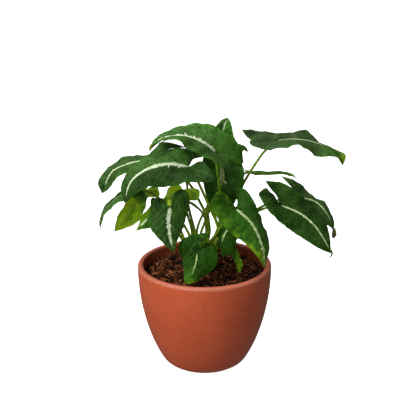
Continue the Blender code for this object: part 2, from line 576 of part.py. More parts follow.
def make_object(name, points, faces):
    """A mesh object from points in millimetres."""
    mesh = bpy.data.meshes.new(name)
    mesh.from_pydata([tuple(float(value) * MM for value in point) for point in points], [],
                     [tuple(int(corner) for corner in face) for face in faces])
    shape = bmesh.new()
    shape.from_mesh(mesh)
    bmesh.ops.recalc_face_normals(shape, faces=shape.faces)
    bmesh.ops.triangulate(shape, faces=shape.faces)
    shape.to_mesh(mesh)
    shape.free()
    created = bpy.data.objects.new(name, mesh)
    bpy.context.scene.collection.objects.link(created)
    return created


def paint(target, name, colour, roughness):
    """Give an object its own material and smooth shading."""
    material = bpy.data.materials.new(name)
    material.use_nodes = True
    shader = material.node_tree.nodes["Principled BSDF"]
    shader.inputs["Base Color"].default_value = (*colour, 1.0)
    shader.inputs["Roughness"].default_value = roughness
    shader.inputs["Metallic"].default_value = 0.0
    target.data.materials.clear()
    target.data.materials.append(material)
    target.data.shade_smooth()
    target.data.set_sharp_from_angle(angle=radians(50.0))


def main():
    for old in list(bpy.data.objects):
        bpy.data.objects.remove(old, do_unlink=True)
    build_pot()
    build_soil()
    build_stems()
    build_leaves()


main()
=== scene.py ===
"""Looks of a potted arrowhead plant: velvety leaves, thin stems, coir soil and a clay-red pot.

Lengths are in millimetres until a mesh is made. The leaves, petioles, pot and soil repeat the
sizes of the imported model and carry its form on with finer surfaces.
"""
from collections import namedtuple
from math import cos, pi, radians, sin, tau

import bmesh
import bpy
import numpy as np
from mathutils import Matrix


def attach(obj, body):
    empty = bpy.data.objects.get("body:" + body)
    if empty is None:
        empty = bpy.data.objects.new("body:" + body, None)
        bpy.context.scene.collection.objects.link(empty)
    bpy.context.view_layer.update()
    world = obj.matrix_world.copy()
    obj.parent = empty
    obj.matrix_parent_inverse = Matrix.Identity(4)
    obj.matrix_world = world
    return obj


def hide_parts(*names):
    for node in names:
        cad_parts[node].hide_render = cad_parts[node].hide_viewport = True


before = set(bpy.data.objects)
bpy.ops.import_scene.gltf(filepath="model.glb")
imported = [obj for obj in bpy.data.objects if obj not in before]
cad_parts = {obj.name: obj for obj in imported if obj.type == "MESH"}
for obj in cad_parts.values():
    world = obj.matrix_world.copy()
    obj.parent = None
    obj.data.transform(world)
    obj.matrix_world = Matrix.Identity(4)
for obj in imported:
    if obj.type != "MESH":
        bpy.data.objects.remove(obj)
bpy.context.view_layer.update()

MM = 0.001
GAP = 0.3                     # between pieces that meet

# The photographed view: the eye looks down on the sight point from this far. The picture is
# 416 pixels wide and shows 1 mm at the sight point as 1 pixel.
SIGHT_POINT = np.array((3.5, 0.0, 166.7))
SIGHT_DISTANCE = 1200.0
SIGHT_TILT = radians(19.4)
PICTURE_WIDTH = 416.0
SENSOR_WIDTH = 36.0
FORWARD = np.array((0.0, cos(SIGHT_TILT), -sin(SIGHT_TILT)))
UPWARD = np.array((0.0, sin(SIGHT_TILT), cos(SIGHT_TILT)))
EYE = SIGHT_POINT - FORWARD * SIGHT_DISTANCE

# The floor's half side and the lights, in metres and watts: name, place, target, size, power.
FLOOR_REACH = 20.0
LIGHTS = [("key", (-0.95, -0.85, 1.1), (0.0, 0.0, 0.12), 0.7, 17.0),
          ("top", (-0.1, 0.1, 1.5), (0.0, 0.0, 0.15), 1.3, 13.0),
          ("front", (-0.45, -1.7, 0.75), (0.0, 0.0, 0.14), 0.9, 8.0)]

# Pot: outer wall as radius and height, foot to lip.
POT_WALL = [(33.3, 0.0), (36.4, 1.6), (41.7, 5.4), (46.7, 13.0), (53.3, 27.0), (58.9, 43.3),
            (63.0, 59.5), (65.9, 75.7), (67.5, 91.9), (67.9, 102.5)]
POT_HEIGHT = 108.2
WALL_THICKNESS = 5.8
FLOOR_THICKNESS = 9.0
FLOOR_RADIUS = 36.0
FOOT_RADIUS = 30.0
LIP_OUTER_ROUND = 3.0
LIP_INNER_ROUND = 2.4
LIP_LEAN = 0.3                # how far the lip's top leans in
GROOVE_HEIGHT = 101.8         # a shallow groove that sets off the lip
GROOVE_WIDTH = 0.8
GROOVE_DEPTH = 0.16
POT_SEGMENTS = 160

# Soil
SOIL_LEVEL = 96.5
SOIL_MOUND = 2.5
SOIL_RELIEF = 1.2
SOIL_RINGS = 60
SOIL_SEGMENTS = 150
SOIL_TONE = 0.12
CRUMBS = 3800
FIBRES = 1500
FIBRE_RINGS = 7
FIBRE_SIDES = 4

# Stems: where each one leaves the soil, and the petioles that grow out of them.
STEMS = {"left": (-9.0, -1.0), "middle": (-4.0, 1.5), "right": (1.3, -1.0)}
STEM_RADIUS = 3.3
STEM_FOOT = 72.0
STEM_TOP = 109.0
STEM_SHOULDER = 8.0           # height of the rounded top
STEM_RINGS = 16
PETIOLE_FOOT = 94.0
PETIOLE_TURN = 2.4            # from one petiole's side of its stem to the next one's, in radians
PETIOLE_STEPS = 11
PETIOLE_RADIUS = 1.2          # at the foot, of the smallest petiole
PETIOLE_GROWTH = 0.03         # more for each mm of its blade's half width
RIB_RADIUS = 0.8              # of the raised rib under the blade, the same way
RIB_GROWTH = 0.014
RIB_TAPER = 0.68              # how much thinner the rib is at the tip
RIB_REACH = 0.86              # where the rib ends, as a share of the midrib
JOINT_SWELLING = 0.35
JOINT_LENGTH = 0.35           # in steps of the petiole
TUBE_SIDES = 12
CURL_RINGS = 24

# Leaves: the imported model's rows and columns give the form, the finer ones carry the detail.
BLADE_THICKNESS = 0.7
BLADE_BULGE = 0.09
RIM_THINNING = 0.6            # how much thinner a blade is at its margin
CAD_GRID = (7, 5, 3)          # rows to the tip, rows round the lobe, columns to the margin
FINE_GRID = (44, 26, 12)
RIB_POINTS = 80
MARGIN_POINTS = 400
FRONT_REACH = 0.93            # where a lobe starts, on the margin from the tip to beside the petiole
LEAST_DEPTH = 0.12            # least share of a margin point's distance that lies in depth
LOBE_LENGTH = 0.35            # how far back a lobe counts, as a share of the midrib
STRIPE_OPENING = 0.05         # where the silver stripe widens at its start, as such a share
STRIPE_CLOSING = 0.12         # where it narrows at its end
VEIN_SPACING = 7.5            # from one side vein to the next along the midrib
VEIN_SLANT = 0.75             # how far a side vein runs to the tip for its way outwards
QUILT_HEIGHT = 0.13           # how far the blade swells between two side veins
QUILT_REACH = 12.0            # rays shorter than this swell less
RIPPLE_HEIGHT = 0.7           # waves of the margin
NOTCH_DEPTH = 0.3

# Where the margin's points are: along the midrib as a share of it, negative behind the petiole,
# and out from it as a share of the half width.
MARGIN_STATIONS = [(0.86, 0.34), (0.60, 0.74), (0.30, 0.97), (0.0, 1.0),
                   (-0.22, 0.90), (-0.38, 0.50), (-0.18, 0.12)]

# The leaves as the photographed view shows them, in mm: rib and petiole as places right of the
# sight point, above it and back, the two sides from the tip round the lobe as right and above.
# faces is roughly where the upper side looks, and turns says which sides go back (1) or forward (-1).
Leaf = namedtuple("Leaf", "name half_width faces stem rib side_a side_b petiole turns",
                  defaults=((1, -1),))

LEAVES = [
    Leaf("leaf_01", half_width=27, faces=(0, -0.2, 1), stem="right",
         rib=[(7, 55.5, -8), (-6, 65.5, -12), (-25, 71, -16), (-44.5, 68.5, -20), (-58.5, 58, -24)],
         side_a=[(-54, 68.5), (-34, 80), (-2, 84.5), (18, 75), (31.5, 62.5), (35, 45), (23, 45)],
         side_b=[(-53.5, 64.5), (-32.5, 68.5), (-19, 58.5), (-2, 50), (13, 41.5), (22, 32), (23, 48)],
         petiole=[(-2, -44, 0), (4.5, -32, -1), (9.5, -23, -3), (13, -14, -5), (13.5, 2, -12),
                  (11.5, 18, -13), (9, 42, -11)]),
    Leaf("leaf_02", half_width=27, faces=(0, -0.4, 1), stem="right",
         rib=[(-19.5, 41, -34), (-40, 44, -38), (-60, 39, -42), (-76.5, 26.5, -46), (-83.5, 5, -48)],
         side_a=[(-87, 20), (-77, 41), (-48, 57), (-29, 60), (-13, 57.5), (-2.5, 52), (-16, 48)],
         side_b=[(-77, 9.5), (-62, 20.5), (-41, 21), (-18, 26), (-3, 25.5), (7, 28), (-6, 46.5)],
         petiole=[(6, -38, -3), (10.5, -28, -5), (10, -18, -7), (6.5, -9.5, -9), (-1.5, 8, -19),
                  (-7.5, 21, -28), (-13, 32, -34)]),
    Leaf("leaf_03", half_width=20, faces=(0, -0.3, 1), stem="middle",
         rib=[(-61, 48, -8), (-80, 43.5, -12), (-95.5, 36, -16), (-106, 14.5, -18)],
         side_a=[(-110, 25), (-101.5, 38.5), (-81.5, 52), (-61.5, 52.5), (-44.5, 66), (-21, 60.5),
                 (-39.5, 59)],
         side_b=[(-99.5, 18.5), (-93, 28), (-81.5, 35.5), (-61, 36), (-48, 36), (-40, 40), (-51, 45)],
         petiole=[(0.5, -24, 4), (-1.5, -13, 6), (-4.5, -1, 4), (-9.5, 8.5, 2), (-20, 26, -2),
                  (-38, 37, -6), (-54, 44, -7)]),
    Leaf("leaf_04", half_width=17, faces=(0, 0, 1), stem="left",
         rib=[(-67, 17.5, -26), (-87, 12, -26), (-98.5, 3, -26), (-106, -8, -26), (-108, -23, -25)],
         side_a=[(-108, -14), (-104, -0.5), (-94.5, 10), (-75, 26), (-66, 32.5), (-58, 34.5), (-63, 28)],
         side_b=[(-106, -13.5), (-101.5, -4.5), (-88, 6), (-75, 10.5), (-70, 4.5), (-64.5, 2.5),
                 (-61.5, 12)],
         petiole=[(-17.5, -30, -6), (-24, -17.5, -10), (-39, 2, -16), (-53, 12, -20), (-61, 16, -22)]),
    Leaf("leaf_05", half_width=19, faces=(-0.3, 1, 0.3), turns=(-1, 1), stem="left",
         rib=[(-62, 18, 2), (-74, 9, 0), (-80, -5, -4), (-93.5, -23.5, -8)],
         side_a=[(-93, -18), (-91, -10), (-83, 4), (-73, 18), (-67, 21.5), (-60.5, 23), (-60.5, 20.5)],
         side_b=[(-86.5, -21.5), (-73, -16), (-64.5, -5), (-60, 9.5), (-48.5, 12.5), (-50, 21), (-57, 21)],
         petiole=[(-23.5, -32, 4), (-28, -21, 5), (-36, -6, 5), (-48, 9, 6), (-56, 16, 6)]),
    Leaf("leaf_06", half_width=11, faces=(-0.5, -0.5, 0.6), stem="left",
         rib=[(-48, 4, -14), (-59, -9, -18), (-72, -23, -22)],
         side_a=[(-70, -18), (-66.5, -9), (-60, -0.5), (-54.5, 5), (-50, 10), (-45, 10), (-47, 6)],
         side_b=[(-67.5, -21.5), (-58.5, -20), (-51, -15), (-42, -3), (-40, 2), (-41, 5), (-45, 3)],
         petiole=[(-21, -38, -10), (-27, -30, -10), (-33, -18, -12), (-41, -2, -12)]),
    Leaf("leaf_07", half_width=20, faces=(0, -1, 0.4), turns=(1, 1), stem="left",
         rib=[(-38, 1.5, -46), (-39.5, -14, -50), (-38, -29, -52), (-34, -45, -50)],
         side_a=[(-42.5, -37.5), (-53.5, -26), (-60, -14), (-57.5, -0.5), (-57, 9), (-49, 9.5), (-41, 6)],
         side_b=[(-31, -34), (-26, -22), (-21.5, -9), (-19.5, 2), (-20.5, 16), (-28, 18.5), (-35.5, 13)],
         petiole=[(-15.5, -29, -8), (-16.5, -20, -16), (-19.5, -10.5, -28), (-23.5, 0, -38),
                  (-31.5, 5, -43)]),
    Leaf("leaf_08", half_width=20, faces=(0, -0.9, 0.6), turns=(1, 1), stem="middle",
         rib=[(-10.5, -41, -50), (-12, -54, -54), (-20, -76, -56)],
         side_a=[(-23.5, -72.5), (-24.5, -62), (-25.5, -50.5), (-29.5, -43), (-27, -32.5), (-11, -26),
                 (2.5, -25)],
         side_b=[(-12, -74), (-3, -67.5), (6.5, -60), (9.5, -48), (8, -39.5), (2, -35), (-4.5, -35.5)],
         petiole=[(-5, -54, -14), (-4, -42, -28), (-7, -37, -42)]),
    Leaf("leaf_09", half_width=21, faces=(0, -0.9, 0.5), turns=(-1, 1), stem="right",
         rib=[(28, -0.5, -32), (44, -16, -36), (53.5, -36.5, -40), (56.5, -60, -42)],
         side_a=[(50, -49.5), (36.5, -35), (22, -24.5), (6.5, -5.5), (2.5, 6.5), (12.5, 17.5), (22.5, 8)],
         side_b=[(59.5, -49), (61.5, -35.5), (54, -13), (47, 4.5), (38, 18), (27, 20.5), (29.5, 6.5)],
         petiole=[(2, -35, -10), (6.5, -28.5, -15), (11.5, -21, -20), (15.5, -14.5, -24), (22, -5.5, -28)]),
    Leaf("leaf_10", half_width=12, faces=(0, -1, 0.3), turns=(1, 1), stem="right",
         rib=[(21, -19, -18), (15, -30, -20), (15, -49, -22)],
         side_a=[(12.5, -44), (10, -37), (9, -28), (10, -20), (13, -15.5), (17, -13), (20, -15)],
         side_b=[(19, -48), (25, -42), (28, -34), (30, -27), (31, -20), (28, -14), (24, -15)],
         petiole=[(4, -42, 4), (12, -28, 4), (20, -15, 0), (22, -14, -10)]),
    Leaf("leaf_11", half_width=24, faces=(0, 0, 1), stem="right",
         rib=[(69, 67, 0), (84, 68.5, 0), (105, 66, -2), (123.5, 57.5, -4), (135, 42.5, -6)],
         side_a=[(137.5, 53), (113, 63), (100, 77), (76.5, 74.5), (52, 77), (33.5, 78.5), (41, 69.5)],
         side_b=[(128.5, 51), (109.5, 51.5), (92, 62.5), (75, 60), (55, 58.5), (41.5, 65), (51, 73.5)],
         petiole=[(5, -40, 6), (14, -18, 10), (24, 3, 12), (35, 24, 12), (50, 48, 6), (60, 60, 2)]),
    Leaf("leaf_12", half_width=13, faces=(0, 0.3, 1), stem="right",
         rib=[(48, 35.5, 32), (60, 35, 32), (77, 35, 30), (88.5, 30, 28)],
         side_a=[(83.5, 34.5), (74, 36), (62, 35.5), (49, 36), (42, 37), (35.5, 37), (42, 36.5)],
         side_b=[(82.5, 32.5), (73, 34.5), (62, 34), (52, 34), (43, 35.5), (36.5, 35.5), (42, 35.5)],
         petiole=[(4, -36, 10), (13, -12, 16), (23, 16, 20), (31, 31, 28), (40, 35.5, 31)]),
    Leaf("leaf_13", half_width=21, faces=(0, -0.7, 0.7), turns=(-1, 1), stem="right",
         rib=[(72.5, 2.5, -14), (91, -5, -18), (105, -16, -21), (114.5, -29, -23), (123.5, -45.5, -24)],
         side_a=[(113, -41.5), (95, -30.5), (78, -19), (60, -2), (50.5, 14), (58.5, 20), (68, 10)],
         side_b=[(122, -32), (119, -17.5), (103, 3), (85, 19.5), (73, 25.5), (57, 27), (68.5, 12)],
         petiole=[(6, -44, 4), (20, -26, 6), (35, -11.5, 0), (50.5, -3, -8), (57, 0, -9), (65, 2, -10)]),
    Leaf("leaf_14", half_width=18, faces=(0, -0.3, 1), stem="right",
         rib=[(90.5, 10, 8), (105, 7.5, 6), (117.5, -4, 2), (126, -23.5, 0)],
         side_a=[(126, -14), (117, 5.5), (105, 11.5), (97, 20), (86, 28), (73, 32), (86, 18)],
         side_b=[(122, -19), (112, -14), (100, -7), (89, -3), (81, 1), (78, 8), (85.5, 9)],
         petiole=[(7, -42, 8), (21, -28, 11), (38, -9, 8), (49.5, -1, 6), (56, 2.5, 7), (70.5, 8, 8),
                  (81, 9.5, 8)]),
    Leaf("leaf_15", half_width=16, faces=(0, -1, 0.3), turns=(-1, -1), stem="right",
         rib=[(14, 50, 20), (12.5, 68, 21), (15, 79.5, 22), (19.5, 90.5, 24)],
         side_a=[(12.5, 87.5), (5, 75), (0, 62), (-1, 50), (0, 42), (5, 38), (11, 45)],
         side_b=[(22.5, 86.5), (25.5, 73.5), (30, 61), (31, 50), (29, 41), (23, 37), (17, 45)],
         petiole=[(4, -36, 10), (11, -20, 16), (11.5, -2, 19), (12, 18, 20), (14, 38, 22)]),
    Leaf("leaf_16", half_width=14, faces=(0, -0.5, 1), stem="middle",
         rib=[(14, 38, 36), (22, 52, 42), (32, 59, 46), (40, 56, 50)],
         side_a=[(38, 61), (31.5, 64), (21, 64), (6, 50), (1, 42), (0, 33), (8, 35)],
         side_b=[(36, 58), (32.5, 53), (28, 42), (27, 32), (24, 24), (18, 22), (14, 30)],
         petiole=[(-7, -24, 12), (-2.5, -13, 16), (1.5, -2, 20), (7, 16, 30), (11, 27, 40)]),
    Leaf("leaf_17", half_width=22, faces=(0, -1, 0.1), turns=(1, 1), stem="middle",
         rib=[(13, 41, -4), (12, 26, -5), (11, 12, -5), (12, -2, -5)],
         side_a=[(2, 3.5), (-2.5, 14), (-4.5, 25.5), (-5.5, 38), (-5, 50), (2, 55.5), (11, 50)],
         side_b=[(21, 2), (32, 13), (35.5, 24), (36, 37), (34, 44), (27, 46.5), (19, 43.5)],
         petiole=[(-0.5, -33, 4), (1.5, -23, 6), (0, -8, 8), (-0.5, 2, 9), (4, 20, 7), (11, 36, 2)]),
    Leaf("leaf_18", half_width=12, faces=(0, 0.9, 0.4), stem="middle",
         rib=[(-19.5, 7.5, -20), (-30, 12.5, -20), (-47, 7.5, -22)],
         side_a=[(-42.5, 12.5), (-39, 21), (-28, 23), (-25.5, 18.5), (-18.5, 20), (-8.5, 17.5), (-10.5, 8)],
         side_b=[(-43, 5), (-37, 1.5), (-30, -1.5), (-24, -3.5), (-21, -2.5), (-20.5, 1), (-20, 4)],
         petiole=[(-2, -28, -4), (-2.5, -13, -8), (-5, -6, -14), (-10, 0, -22), (-15, 3, -26)]),
    Leaf("leaf_19", half_width=7, faces=(0, -1, 0.4), turns=(1, 1), stem="right",
         rib=[(20, -28, -12), (27, -50, -16), (31, -65.5, -20)],
         side_a=[(29.5, -60), (25.5, -51.5), (20, -44), (15, -35), (13.5, -25), (15, -17), (17.5, -22)],
         side_b=[(34.5, -59.5), (32.5, -49.5), (28.5, -41), (27.5, -32), (28, -24), (25.5, -17),
                 (22.5, -22)],
         petiole=[(4, -48, 4), (9, -37, 6), (13, -30, 4), (18, -27, -5)]),
    Leaf("leaf_20", half_width=19, faces=(0, 0.3, 1), turns=(-1, -1), stem="left",
         rib=[(-24, 32, 24), (-30, 38, 38), (-36, 39, 52), (-43, 33, 66)],
         side_a=[(-47, 33), (-53, 37), (-50, 38), (-43, 34), (-40, 30), (-34, 27.5), (-27, 29.5)],
         side_b=[(-36, 32), (-24, 37), (-14, 38), (-5, 33), (-4, 29), (-11, 27.5), (-21, 29.5)],
         petiole=[(-12.5, -32, 4), (-14, -20, 7), (-17, -9, 10), (-19.5, 2, 13), (-21, 16, 17),
                  (-21.5, 26, 21)]),
    Leaf("leaf_21", half_width=14, faces=(0, 0.3, 1), turns=(-1, -1), stem="middle",
         rib=[(14, 15, 40), (17, 23, 54), (20, 27, 64), (25, 22, 75)],
         side_a=[(21, 23), (10, 26), (5, 23), (1, 16), (2, 11), (7, 8), (12, 11)],
         side_b=[(29, 22), (32, 25), (30, 22), (27, 15), (25, 10), (21, 8), (16, 11)],
         petiole=[(-11, -22.5, 10), (-7, -10.5, 18), (-1, 1, 26), (5, 8, 33)]),
]

# How a leaf is coloured. tones are how bright its greens are on the lobe, beside the petiole
# and at the tip, for side a and side b, partly the leaf's own tone and partly painted light and
# shade. grey is how grey its velvet's greens are, partly its own colour and partly a painted
# sheen. fresh says how much of side a, side b, the tip, lobe a and lobe b is young yellow-green;
# under is how much of its lower face takes a painted yellow-green of light shining through, and
# through is how strongly its faces glow with that painted light. stripe is the pale midrib's half
# width in mm at the petiole and near the tip, and where it starts and ends on the midrib; barbs
# is how far it runs out along the side veins, as a multiple of that half width, and silver how
# white it is. veins lightens the side veins, or darkens them below zero. ragged makes the
# margin's notches larger, and pit is how far painted shade reaches round the hollow where
# the petiole joins, in mm. One tone stands for all six, and one fresh share for all five.
Look = namedtuple("Look", "tones grey fresh stripe barbs silver veins ragged pit under through",
                  defaults=(0.3, 0.6, -0.3, 1, 2.8, 0.3, 0))
LOOKS = {
    "leaf_01": Look(((0.84, 1.85, 1.7), (0.68, 1.12, 1.65)), 0.6, (0, 0, 0.15, 0.34, 0.12),
                    (3, 2.4, 0, 0.98), barbs=1.3, silver=1.25),
    "leaf_02": Look(((2.4, 1.80, 0.62), (0.42, 0.60, 0.60)), 0.6, (0, 0, 0.1, 0, 0.05), (2.1, 0.9, 0, 0.93),
                    barbs=1.6, silver=1.15),
    "leaf_03": Look(((1.1, 1.05, 1.1), (1, 1.1, 1.1)), 0.7, (0, 0, 0.1, 0, 0), (1.6, 0.8, 0, 0.88),
                    barbs=0.8, silver=1),
    "leaf_04": Look(((1, 1, 1), (3, 1.4, 1)), 0.6, (0, 0, 0.1, 0, 0.6), (1, 0.5, 0, 0.95)),
    "leaf_05": Look(3, 0, (0.3, 0.3, 0.4, 0.1, 0.1), (0.6, 0.3, 0, 0.7), under=0.95, through=0.16),
    "leaf_06": Look(((2.6, 2.4, 1.8), (0.9, 0.9, 0.9)), 0, (3, 0.35, 0.4, 1.2, 0.6), (1.2, 0.9, 0.54, 0.84),
                    silver=0.9, under=0.9, through=0.25),
    "leaf_07": Look(((0.8, 0.95, 1.15), (0.95, 1.2, 1.4)), 0.55, (0, 0.1, 0.05, 0, 0.1),
                    (1.9, 1, 0.02, 0.84), barbs=1.2, silver=1.1, veins=0.3),
    "leaf_08": Look(((0.76, 0.62, 1.5), (0.74, 0.60, 1.4)), 0.1, (0.10, 0.28, 0.5, 0, 0.05),
                    (0.65, 0.4, 0.12, 0.72), barbs=1.2, silver=0.1, veins=0.5, pit=4.5, under=0.4),
    "leaf_09": Look(((1.15, 1, 0.85), (0.75, 1.4, 1.55)), 0.15, (0.56, 0.16, 1, 0.03, 0),
                    (1.3, 0.9, 0, 0.97), barbs=2.4, silver=0.4, veins=-0.6, under=0.6),
    "leaf_10": Look(1.12, 0, (0.2, 0.1, 0.4, 0.1, 0.1), (0.8, 0.5, 0.05, 0.55), barbs=2.2, silver=0.2,
                    ragged=9),
    "leaf_11": Look(((0.7, 0.85, 1), (0.72, 0.9, 1)), 1.2, (0, 0.05, 0.8, 0, 0), (1, 0.6, 0, 0.66),
                    barbs=0.4, under=0.6),
    "leaf_12": Look(0.9, 0.6, (0.3, 0.3, 0.7, 0.3, 0.3), (0.6, 0.4, 0, 0.6), under=0.5),
    "leaf_13": Look(((1, 0.8, 0.9), (0.9, 0.78, 0.82)), 0.35, (0, 0, 0.1, 0, 0.05), (1.1, 0.6, 0, 0.92),
                    barbs=0.5, silver=0.5),
    "leaf_14": Look(((1.5, 1.35, 1.1), (1.2, 1, 1)), 0.9, (0, 0, 0.5, 0, 0), (1.1, 0.6, 0, 0.88),
                    barbs=0.4),
    "leaf_15": Look(((1.8, 1.8, 1.8), (2.3, 2.5, 2.4)), 0.6, (0, 0.25, 0.1, 0, 0.2), (1.7, 1.1, 0.50, 0.95),
                    barbs=0.6, silver=1),
    "leaf_16": Look(1.4, 0.4, 0.1, (0.8, 0.5, 0, 0.6), under=0.5),
    "leaf_17": Look(1.25, 0.3, 0.1, (0.6, 0.4, 0, 0.5), under=0.2),
    "leaf_18": Look(1.4, 0, 0.6, (0.6, 0.4, 0, 0.6), under=0.95, through=0.10),
    "leaf_19": Look(0.8, 0, (1.3, 0.9, 1, 0.5, 0.5), (0.4, 0.3, 0, 0.3), ragged=9, under=0.6),
    "leaf_20": Look(1.5, 0.2, 0.3, (1.2, 0.7, 0, 0.8), under=0.7, through=0.08),
    "leaf_21": Look(0.9, 0.4, 0.1, (1, 0.6, 0, 0.8)),
}

# How bright a petiole is, partly its own tone and partly painted light and shade; the others are 1.
PETIOLE_TONES = {"leaf_02": 1.2, "leaf_03": 1.35, "leaf_04": 1.35, "leaf_05": 1.35, "leaf_06": 1.2,
                 "leaf_07": 1.3, "leaf_08": 0.4, "leaf_09": 0.8, "leaf_10": 0.7}

# Small curled ends: line is drawn like the leaves, swell is the width at four places along it
# as shares of the half width, and depth is the thickness across the direction thin.
Curl = namedtuple("Curl", "name node slot half_width swell depth thin line colours")
CURLS = [
    Curl("hook_13", "leaf_13", "blade", 1.0, (0.9, 1.0, 0.8, 0.3), 0.5, (0, 1, 0.3),
         [(123.2, -42, -24), (124, -46, -24), (122.4, -48.6, -24), (120, -49.8, -24)],
         ((0.03, 0.10, 0.01), (0.08, 0.18, 0.02))),
    Curl("hook_14", "leaf_14", "blade", 2.8, (0.5, 0.6, 1.0, 0.25), 0.35, (0, 1, 0.3),
         [(125.8, -20, 0), (126.2, -24, 0), (125.8, -28, 0), (124.5, -30.4, 0)],
         ((0.20, 0.17, 0.03), (0.07, 0.10, 0.02))),
    Curl("tip_01", "leaf_01", "blade", 1.5, (0.4, 0.8, 1.0, 0.4), 0.5, (0, 1, 0.3),
         [(-55.6, 64.5, -24), (-57.2, 61.5, -24), (-57.8, 59, -24), (-57.4, 57, -24)],
         ((0.16, 0.26, 0.02), (0.30, 0.36, 0.04))),
    Curl("knob_07", "leaf_07", "stem", 2.7, (0.5, 1.0, 1.0, 0.6), 0.7, (0, 1, 0.3),
         [(-38.4, 7.0, -44), (-38.3, 5.4, -45.5), (-38.2, 3.6, -47), (-38.2, 2.0, -48)],
         ((0.15, 0.30, 0.01), (0.34, 0.50, 0.03))),
    Curl("bract_18", "stems", "stem", 1.5, (0.5, 1.0, 0.9, 0.4), 0.7, (0, 1, 0.3),
         [(-20.0, 5.6, -28), (-16.5, 4.8, -27), (-13.0, 2.6, -25), (-9.8, 0.6, -22.5)],
         ((0.08, 0.22, 0.01), (0.22, 0.42, 0.02))),
    Curl("sheath_01", "stems", "stem", 2.4, (0.3, 0.7, 1.0, 0.15), 0.25, (0, 1, 0.2),
         [(12.4, 45, -12), (14, 38, -14), (14.6, 31, -15), (13.6, 21, -16)],
         ((0.09, 0.16, 0.03), (0.24, 0.30, 0.10))),
    Curl("sheath_tip", "stems", "stem", 1.0, (0.3, 0.8, 1.0, 0.2), 0.4, (0, 1, 0.2),
         [(14.6, 28, -16), (16.6, 26.6, -16), (18, 25, -17), (16.4, 23.6, -17)],
         ((0.30, 0.33, 0.14), (0.45, 0.46, 0.24))),
    Curl("stub", "stems", "stem", 1.0, (0.8, 1.0, 0.9, 0.4), 0.8, (0, 1, 0.2),
         [(-24, -35.5, -2), (-25.6, -32, -4), (-27, -29, -5), (-27.4, -26.6, -6)],
         ((0.40, 0.48, 0.12), (0.50, 0.56, 0.22))),
]


# Curves and surfaces of the leaves

def drawn(right, up, back):
    """Place of a point that the photographed view shows right and up of the sight point."""
    ray = FORWARD * SIGHT_DISTANCE + np.array((right, 0.0, 0.0)) + UPWARD * up
    return EYE + ray * (back - EYE[1]) / ray[1]


def unit(vectors):
    """Vectors scaled to length one."""
    length = np.linalg.norm(vectors, axis=-1, keepdims=True)
    return vectors / np.maximum(length, 1e-9)


def smooth_curve(points, count):
    """A smooth curve through the points, pointed where it turns sharply, as count points."""
    points = np.asarray(points, float)
    steps = np.sqrt(np.linalg.norm(np.diff(points, axis=0), axis=1))
    knots = np.concatenate(([0.0], np.cumsum(steps)))
    slopes = np.diff(points, axis=0) / steps[:, None]
    before, after = steps[:-1, None], steps[1:, None]
    inner = (slopes[:-1] * after + slopes[1:] * before) / (before + after)
    bend = (unit(slopes[:-1]) * unit(slopes[1:])).sum(axis=1, keepdims=True)
    inner *= np.clip(1.0 + bend, 0.0, 1.0)
    tangents = np.vstack((slopes[:1], inner, slopes[-1:]))
    place = np.linspace(0.0, knots[-1], count)
    piece = np.clip(np.searchsorted(knots, place, side="right") - 1, 0, len(steps) - 1)
    span = steps[piece][:, None]
    x = (place - knots[piece])[:, None] / span
    return ((2 * x**3 - 3 * x**2 + 1) * points[piece] + (x**3 - 2 * x**2 + x) * span * tangents[piece]
            + (3 * x**2 - 2 * x**3) * points[piece + 1] + (x**3 - x**2) * span * tangents[piece + 1])


def lengths_along(curve):
    """Distance of each point of a curve from its start."""
    return np.concatenate(([0.0], np.cumsum(np.linalg.norm(np.diff(curve, axis=0), axis=1))))


def between(places, known, vectors):
    """Vectors at some places, read off between vectors at known places."""
    return np.stack([np.interp(places, known, column) for column in vectors.T], axis=-1)


def along(curve, shares):
    """Points at the given shares of a curve's length."""
    lengths = lengths_along(curve)
    return between(np.asarray(shares) * lengths[-1], lengths, curve)


def ramp(values, start, end):
    """0 up to the start, 1 from the end on, and even in between."""
    return np.clip((values - start) / (end - start), 0.0, 1.0)


def midrib(leaf):
    """The midrib from the petiole to the tip, and its length."""
    rib = smooth_curve([drawn(*point) for point in leaf.rib], RIB_POINTS)
    return rib, lengths_along(rib)[-1]


def margin(leaf, side):
    """The margin of one side from the tip round the lobe to the petiole, as control points."""
    rib, length = midrib(leaf)
    points = [rib[-1]]
    for (share, out), (right, up) in zip(MARGIN_STATIONS, (leaf.side_a, leaf.side_b)[side]):
        foot = along(rib, max(share, 0.0))
        real = np.hypot(min(share, 0.0) * length, out * leaf.half_width)
        seen = np.linalg.norm(drawn(right, up, foot[1]) - foot)
        hidden = np.sqrt(max(real**2 - seen**2, (LEAST_DEPTH * real)**2))
        points.append(drawn(right, up, foot[1] + leaf.turns[side] * hidden))
    return points + [rib[0]]


def lobe_vein(points, edge, lobe_rows):
    """Starts of a lobe's rays on the vein that runs back into it, and their numbers on the vein.

    They go out from the petiole along the vein, and back along it on its other side.
    """
    outer, end, inner, joint = points[5:]
    extreme = np.argmin(np.linalg.norm(edge - end, axis=1)) / len(edge)
    fold = int(np.clip(round(extreme * lobe_rows), 2, lobe_rows - 2))
    count = min(fold, lobe_rows - fold)
    row = np.arange(lobe_rows + 1)
    share = np.where(row < fold, row / fold, (lobe_rows - row) / (lobe_rows - fold))
    steps = np.rint(share * count).astype(int)
    far = 0.3 * outer + 0.4 * end + 0.3 * inner
    t = (steps / count)[:, None]
    roots = (1 - t)**2 * joint + t * (1 - t) * (outer + inner) + t**2 * far
    return roots, steps


